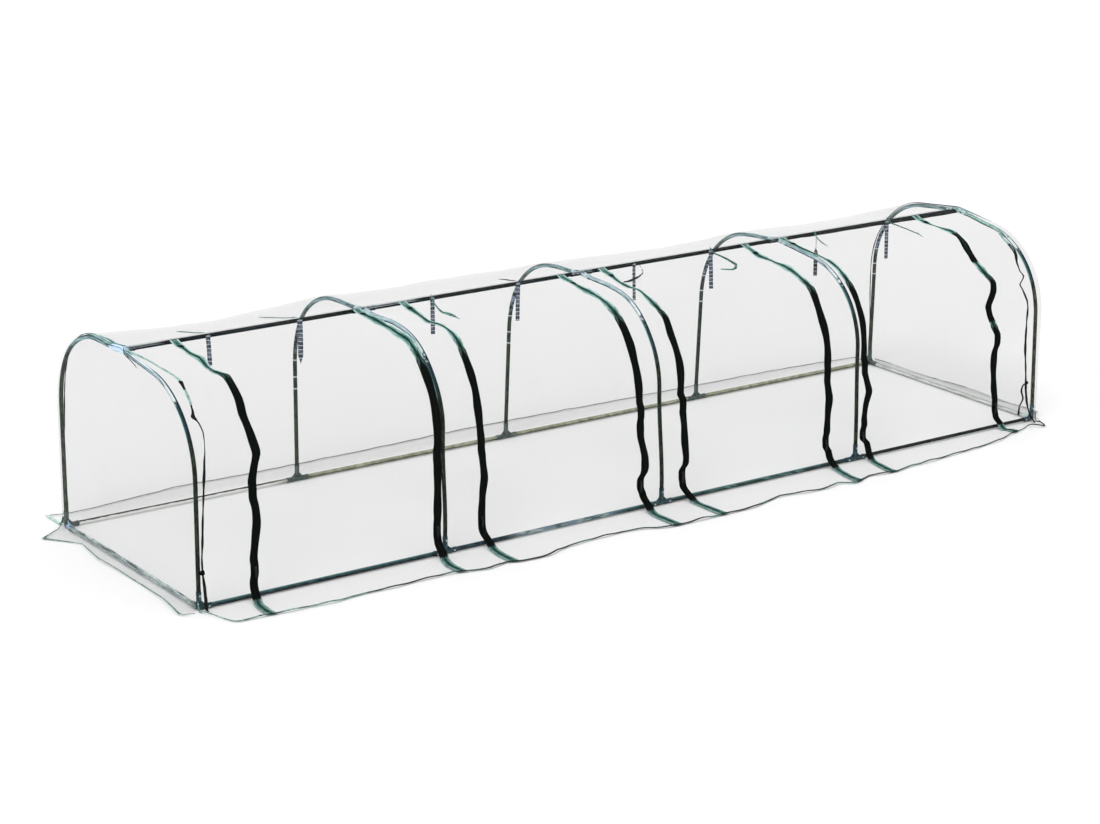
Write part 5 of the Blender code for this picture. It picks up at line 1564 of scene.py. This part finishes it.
# a last ribbon is knotted over the left hoop and its thin end hangs over the end panel
line = smooth_line([(-1.9790, -0.028, 0.8210), (-1.9868, -0.049, 0.8050), (-1.9900, -0.104, 0.7935), (-1.9920, -0.155, 0.7800)], 24)
along = np.gradient(line, axis=0)
facing = np.cross(np.array(TO_CAMERA), along / np.linalg.norm(along, axis=1, keepdims=True))
facing /= np.linalg.norm(facing, axis=1, keepdims=True)
obj, run = ribbon("tie_ribbon_end", line, 0.30 * facing + 0.95 * np.array(TO_CAMERA), RIBBON_DARK, 0.010, point=0.7)
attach(obj, "root")


# ---- corner ties --------------------------------------------------------
def blob(at, size, seed):
    """A small pulled-tight knot."""
    nu, nv = 12, 8
    verts, faces = [], []
    for i in range(1, nv):
        th = math.pi * i / nv
        for j in range(nu):
            ph = 2 * math.pi * j / nu
            r = 1 + 0.16 * math.sin(3 * ph + seed) * math.sin(2 * th + seed) + 0.08 * math.sin(5 * ph - seed)
            verts.append((at[0] + size[0] * r * math.sin(th) * math.cos(ph), at[1] + size[1] * r * math.sin(th) * math.sin(ph), at[2] + size[2] * r * math.cos(th)))
    for i in range(nv - 2):
        for j in range(nu):
            k = (j + 1) % nu
            faces.append((i * nu + j, (i + 1) * nu + j, (i + 1) * nu + k, i * nu + k))
    faces.append(tuple(range(nu)))
    faces.append(tuple((nv - 2) * nu + j for j in range(nu))[::-1])
    return np.array(verts), faces, np.zeros((len(verts), 2))


def corner_tie(word, sx, z, seam_x, tail, leg_x):
    """A short strap sewn to the seam, knotted there or at the leg, with one end hanging free."""
    front = -(WALL_Y + 0.0030)
    bar = smooth_line([(leg_x, front + 0.0005, z - 0.004), ((seam_x + leg_x) / 2, front - 0.0015, z - 0.001), (seam_x, front - 0.0010, z + 0.004)], 14)
    v1, f1, uv1 = cross_sections(bar, np.linspace(0.0030, 0.0062, 14) * (1.0 if sx < 0 else 0.6), 10)
    big = 1.45 if sx < 0 else 1.0
    knot = blob((seam_x + sx * 0.004, front - 0.0026, z + 0.001), (0.0060 * big, 0.0038 * big, 0.0066 * big), 1.0 + sx)
    v, f, uv = merge([(v1, f1, uv1), knot])
    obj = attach(add(f"corner_tie_{word}", v, f, KNOT, uv, 60), "root")
    if tail:
        line = smooth_line([(p[0], front - 0.0020 - p[2], p[1]) for p in tail], 30)
        ang = 1.78 + 0.22 * np.sin(np.linspace(0, 11, 30))   # hangs nearly edge-on, slightly twisted
        wide = np.stack([np.cos(ang), -np.sin(ang), np.zeros(30)], -1)
        strap, run = ribbon(f"corner_tie_{word}_end", line, wide, STRAP, 0.012)
        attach(strap, "root")


corner_tie("left", -1, 0.137, -1.957, None, -1.972)
corner_tie("right", 1, 0.176, 1.912, [(1.918, 0.178, 0.004), (1.890, 0.172, 0.006), (1.880, 0.148, 0.007), (1.892, 0.112, 0.006), (1.874, 0.082, 0.007), (1.870, 0.046, 0.008)], 1.926)


# ---- zip sliders --------------------------------------------------------
def rounded_box(size, at, radius, taper=1.0):
    """A box with rounded upright edges and softened faces; taper narrows its foot."""
    w, d, h = (q / 2 for q in size)
    levels = [(-h, 0.82), (-h + radius * 0.5, 0.95), (-h + radius, 1.0), (h - radius, 1.0), (h - radius * 0.5, 0.95), (h, 0.82)]
    verts, faces, sides = [], [], 24
    for z, k in levels:
        pinch = taper + (1 - taper) * (z + h) / (2 * h)
        for j in range(sides):
            a = 2 * math.pi * (j + 0.5) / sides
            c, s = math.cos(a), math.sin(a)
            verts.append((at[0] + math.copysign(max(0, (w - radius)) + radius * abs(c), c) * pinch * (k if k < 1 else 1), at[1] + math.copysign(max(0, (d - radius)) + radius * abs(s), s) * (k if k < 1 else 1), at[2] + z))
    for i in range(len(levels) - 1):
        for j in range(sides):
            q = (j + 1) % sides
            faces.append((i * sides + j, i * sides + q, (i + 1) * sides + q, (i + 1) * sides + j))
    faces += [tuple(range(sides))[::-1], tuple((len(levels) - 1) * sides + j for j in range(sides))]
    return np.array(verts), faces, np.zeros((len(verts), 2))


def slider_parts():
    body = rounded_box((0.0104, 0.0044, 0.0140), (0, -0.0027, 0), 0.0014, 0.80)
    nose = rounded_box((0.0040, 0.0030, 0.0105), (0, -0.0058, 0.0006), 0.0009)
    loop = cross_sections(smooth_line([(0, -0.0060, 0.0046), (0, -0.0088, 0.0030), (0, -0.0092, -0.0010), (0, -0.0070, -0.0046), (0, -0.0050, -0.0050)], 18), 0.00085, 10)
    ring = [(0.0030 * math.cos(a), -0.0080 - 0.0006 * math.cos(a), -0.0022 + 0.0030 * math.sin(a)) for a in np.linspace(0, 2 * math.pi, 22)]
    link = cross_sections(ring, 0.0007, 8)
    # pull tab: a flat plate with a hole, thicker at its rim
    n = 28
    t = np.linspace(0, 2 * math.pi, n, endpoint=False)
    length, wide = 0.0330, 0.0078
    ox = np.sign(np.cos(t)) * np.abs(np.cos(t)) ** 0.45 * wide / 2 * (1 - 0.18 * (np.sin(t) > 0) * np.sin(t))
    oz = -0.0185 + np.sign(np.sin(t)) * np.abs(np.sin(t)) ** 0.45 * length / 2
    hx, hz = 0.0018 * np.cos(t), -0.0295 + 0.0022 * np.sin(t)
    rim_x, rim_z = ox * 0.80, -0.0185 + (oz + 0.0185) * 0.95
    verts, faces = [], []
    layers = [(hx, hz, -0.0078), (rim_x, rim_z, -0.0078), (rim_x * 1.04, -0.0185 + (rim_z + 0.0185) * 1.01, -0.0083), (ox, oz, -0.0081), (ox, oz, -0.0070), (rim_x * 1.04, -0.0185 + (rim_z + 0.0185) * 1.01, -0.0067), (rim_x, rim_z, -0.0071), (hx, hz, -0.0071)]
    for lx, lz, ly in layers:
        verts += [(a, ly, c) for a, c in zip(lx, lz)]
    m = len(layers)
    for i in range(m):
        for j in range(n):
            k = (j + 1) % n
            b = ((i + 1) % m)
            faces.append((i * n + j, b * n + j, b * n + k, i * n + k))
    tab = (np.array(verts), faces, np.zeros((len(verts), 2)))
    return merge([body, nose, loop, link, tab])


SLIDER_V, SLIDER_F, SLIDER_UV = slider_parts()
FACE_Y = -(HALF_WIDTH + FILM_OFF + 0.0010)
for n in range(1, 5):
    for word, x in (("left", ZIPS[2 * n - 2]), ("right", ZIPS[2 * n - 1])):
        obj = add(f"slider_{n}_{word}", SLIDER_V + np.array([x, FACE_Y - 0.0010, SLIDER_Z]), SLIDER_F, SLIDER, SLIDER_UV, 40)
        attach(obj, f"slider_{n}_{word}")
        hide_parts(f"zip_slider_{n}_{word}")


# ---- floor and light ----------------------------------------------------
def stage():
    mesh = bpy.data.meshes.new("floor")
    mesh.from_pydata([(-30, -30, -0.0006), (30, -30, -0.0006), (30, 30, -0.0006), (-30, 30, -0.0006)], [], [(0, 1, 2, 3)])
    p = Paint("floor", 0.9, 0.0, 0.0)
    p.colour((FLOOR, FLOOR, FLOOR))
    mesh.materials.append(p.m)
    obj = bpy.data.objects.new("floor", mesh)
    bpy.context.scene.collection.objects.link(obj)
    world = bpy.data.worlds.new("studio")
    world.use_nodes = True
    back = world.node_tree.nodes["Background"]
    back.inputs["Color"].default_value = (1, 1, 1, 1)
    back.inputs["Strength"].default_value = 1.0
    bpy.context.scene.world = world
    lamp = bpy.data.lights.new("key", "SUN")
    lamp.energy = SUN
    lamp.angle = math.radians(25)
    key = bpy.data.objects.new("key", lamp)
    key.rotation_euler = (math.radians(34), 0, math.radians(-60))
    bpy.context.scene.collection.objects.link(key)


SUN = 1.0
FLOOR = 0.85
stage()
scene = bpy.context.scene
scene.view_settings.view_transform = "Standard"
scene.view_settings.look = "None"
if hasattr(scene, "cycles"):
    scene.cycles.transparent_max_bounces = 48
    scene.cycles.max_bounces = 8
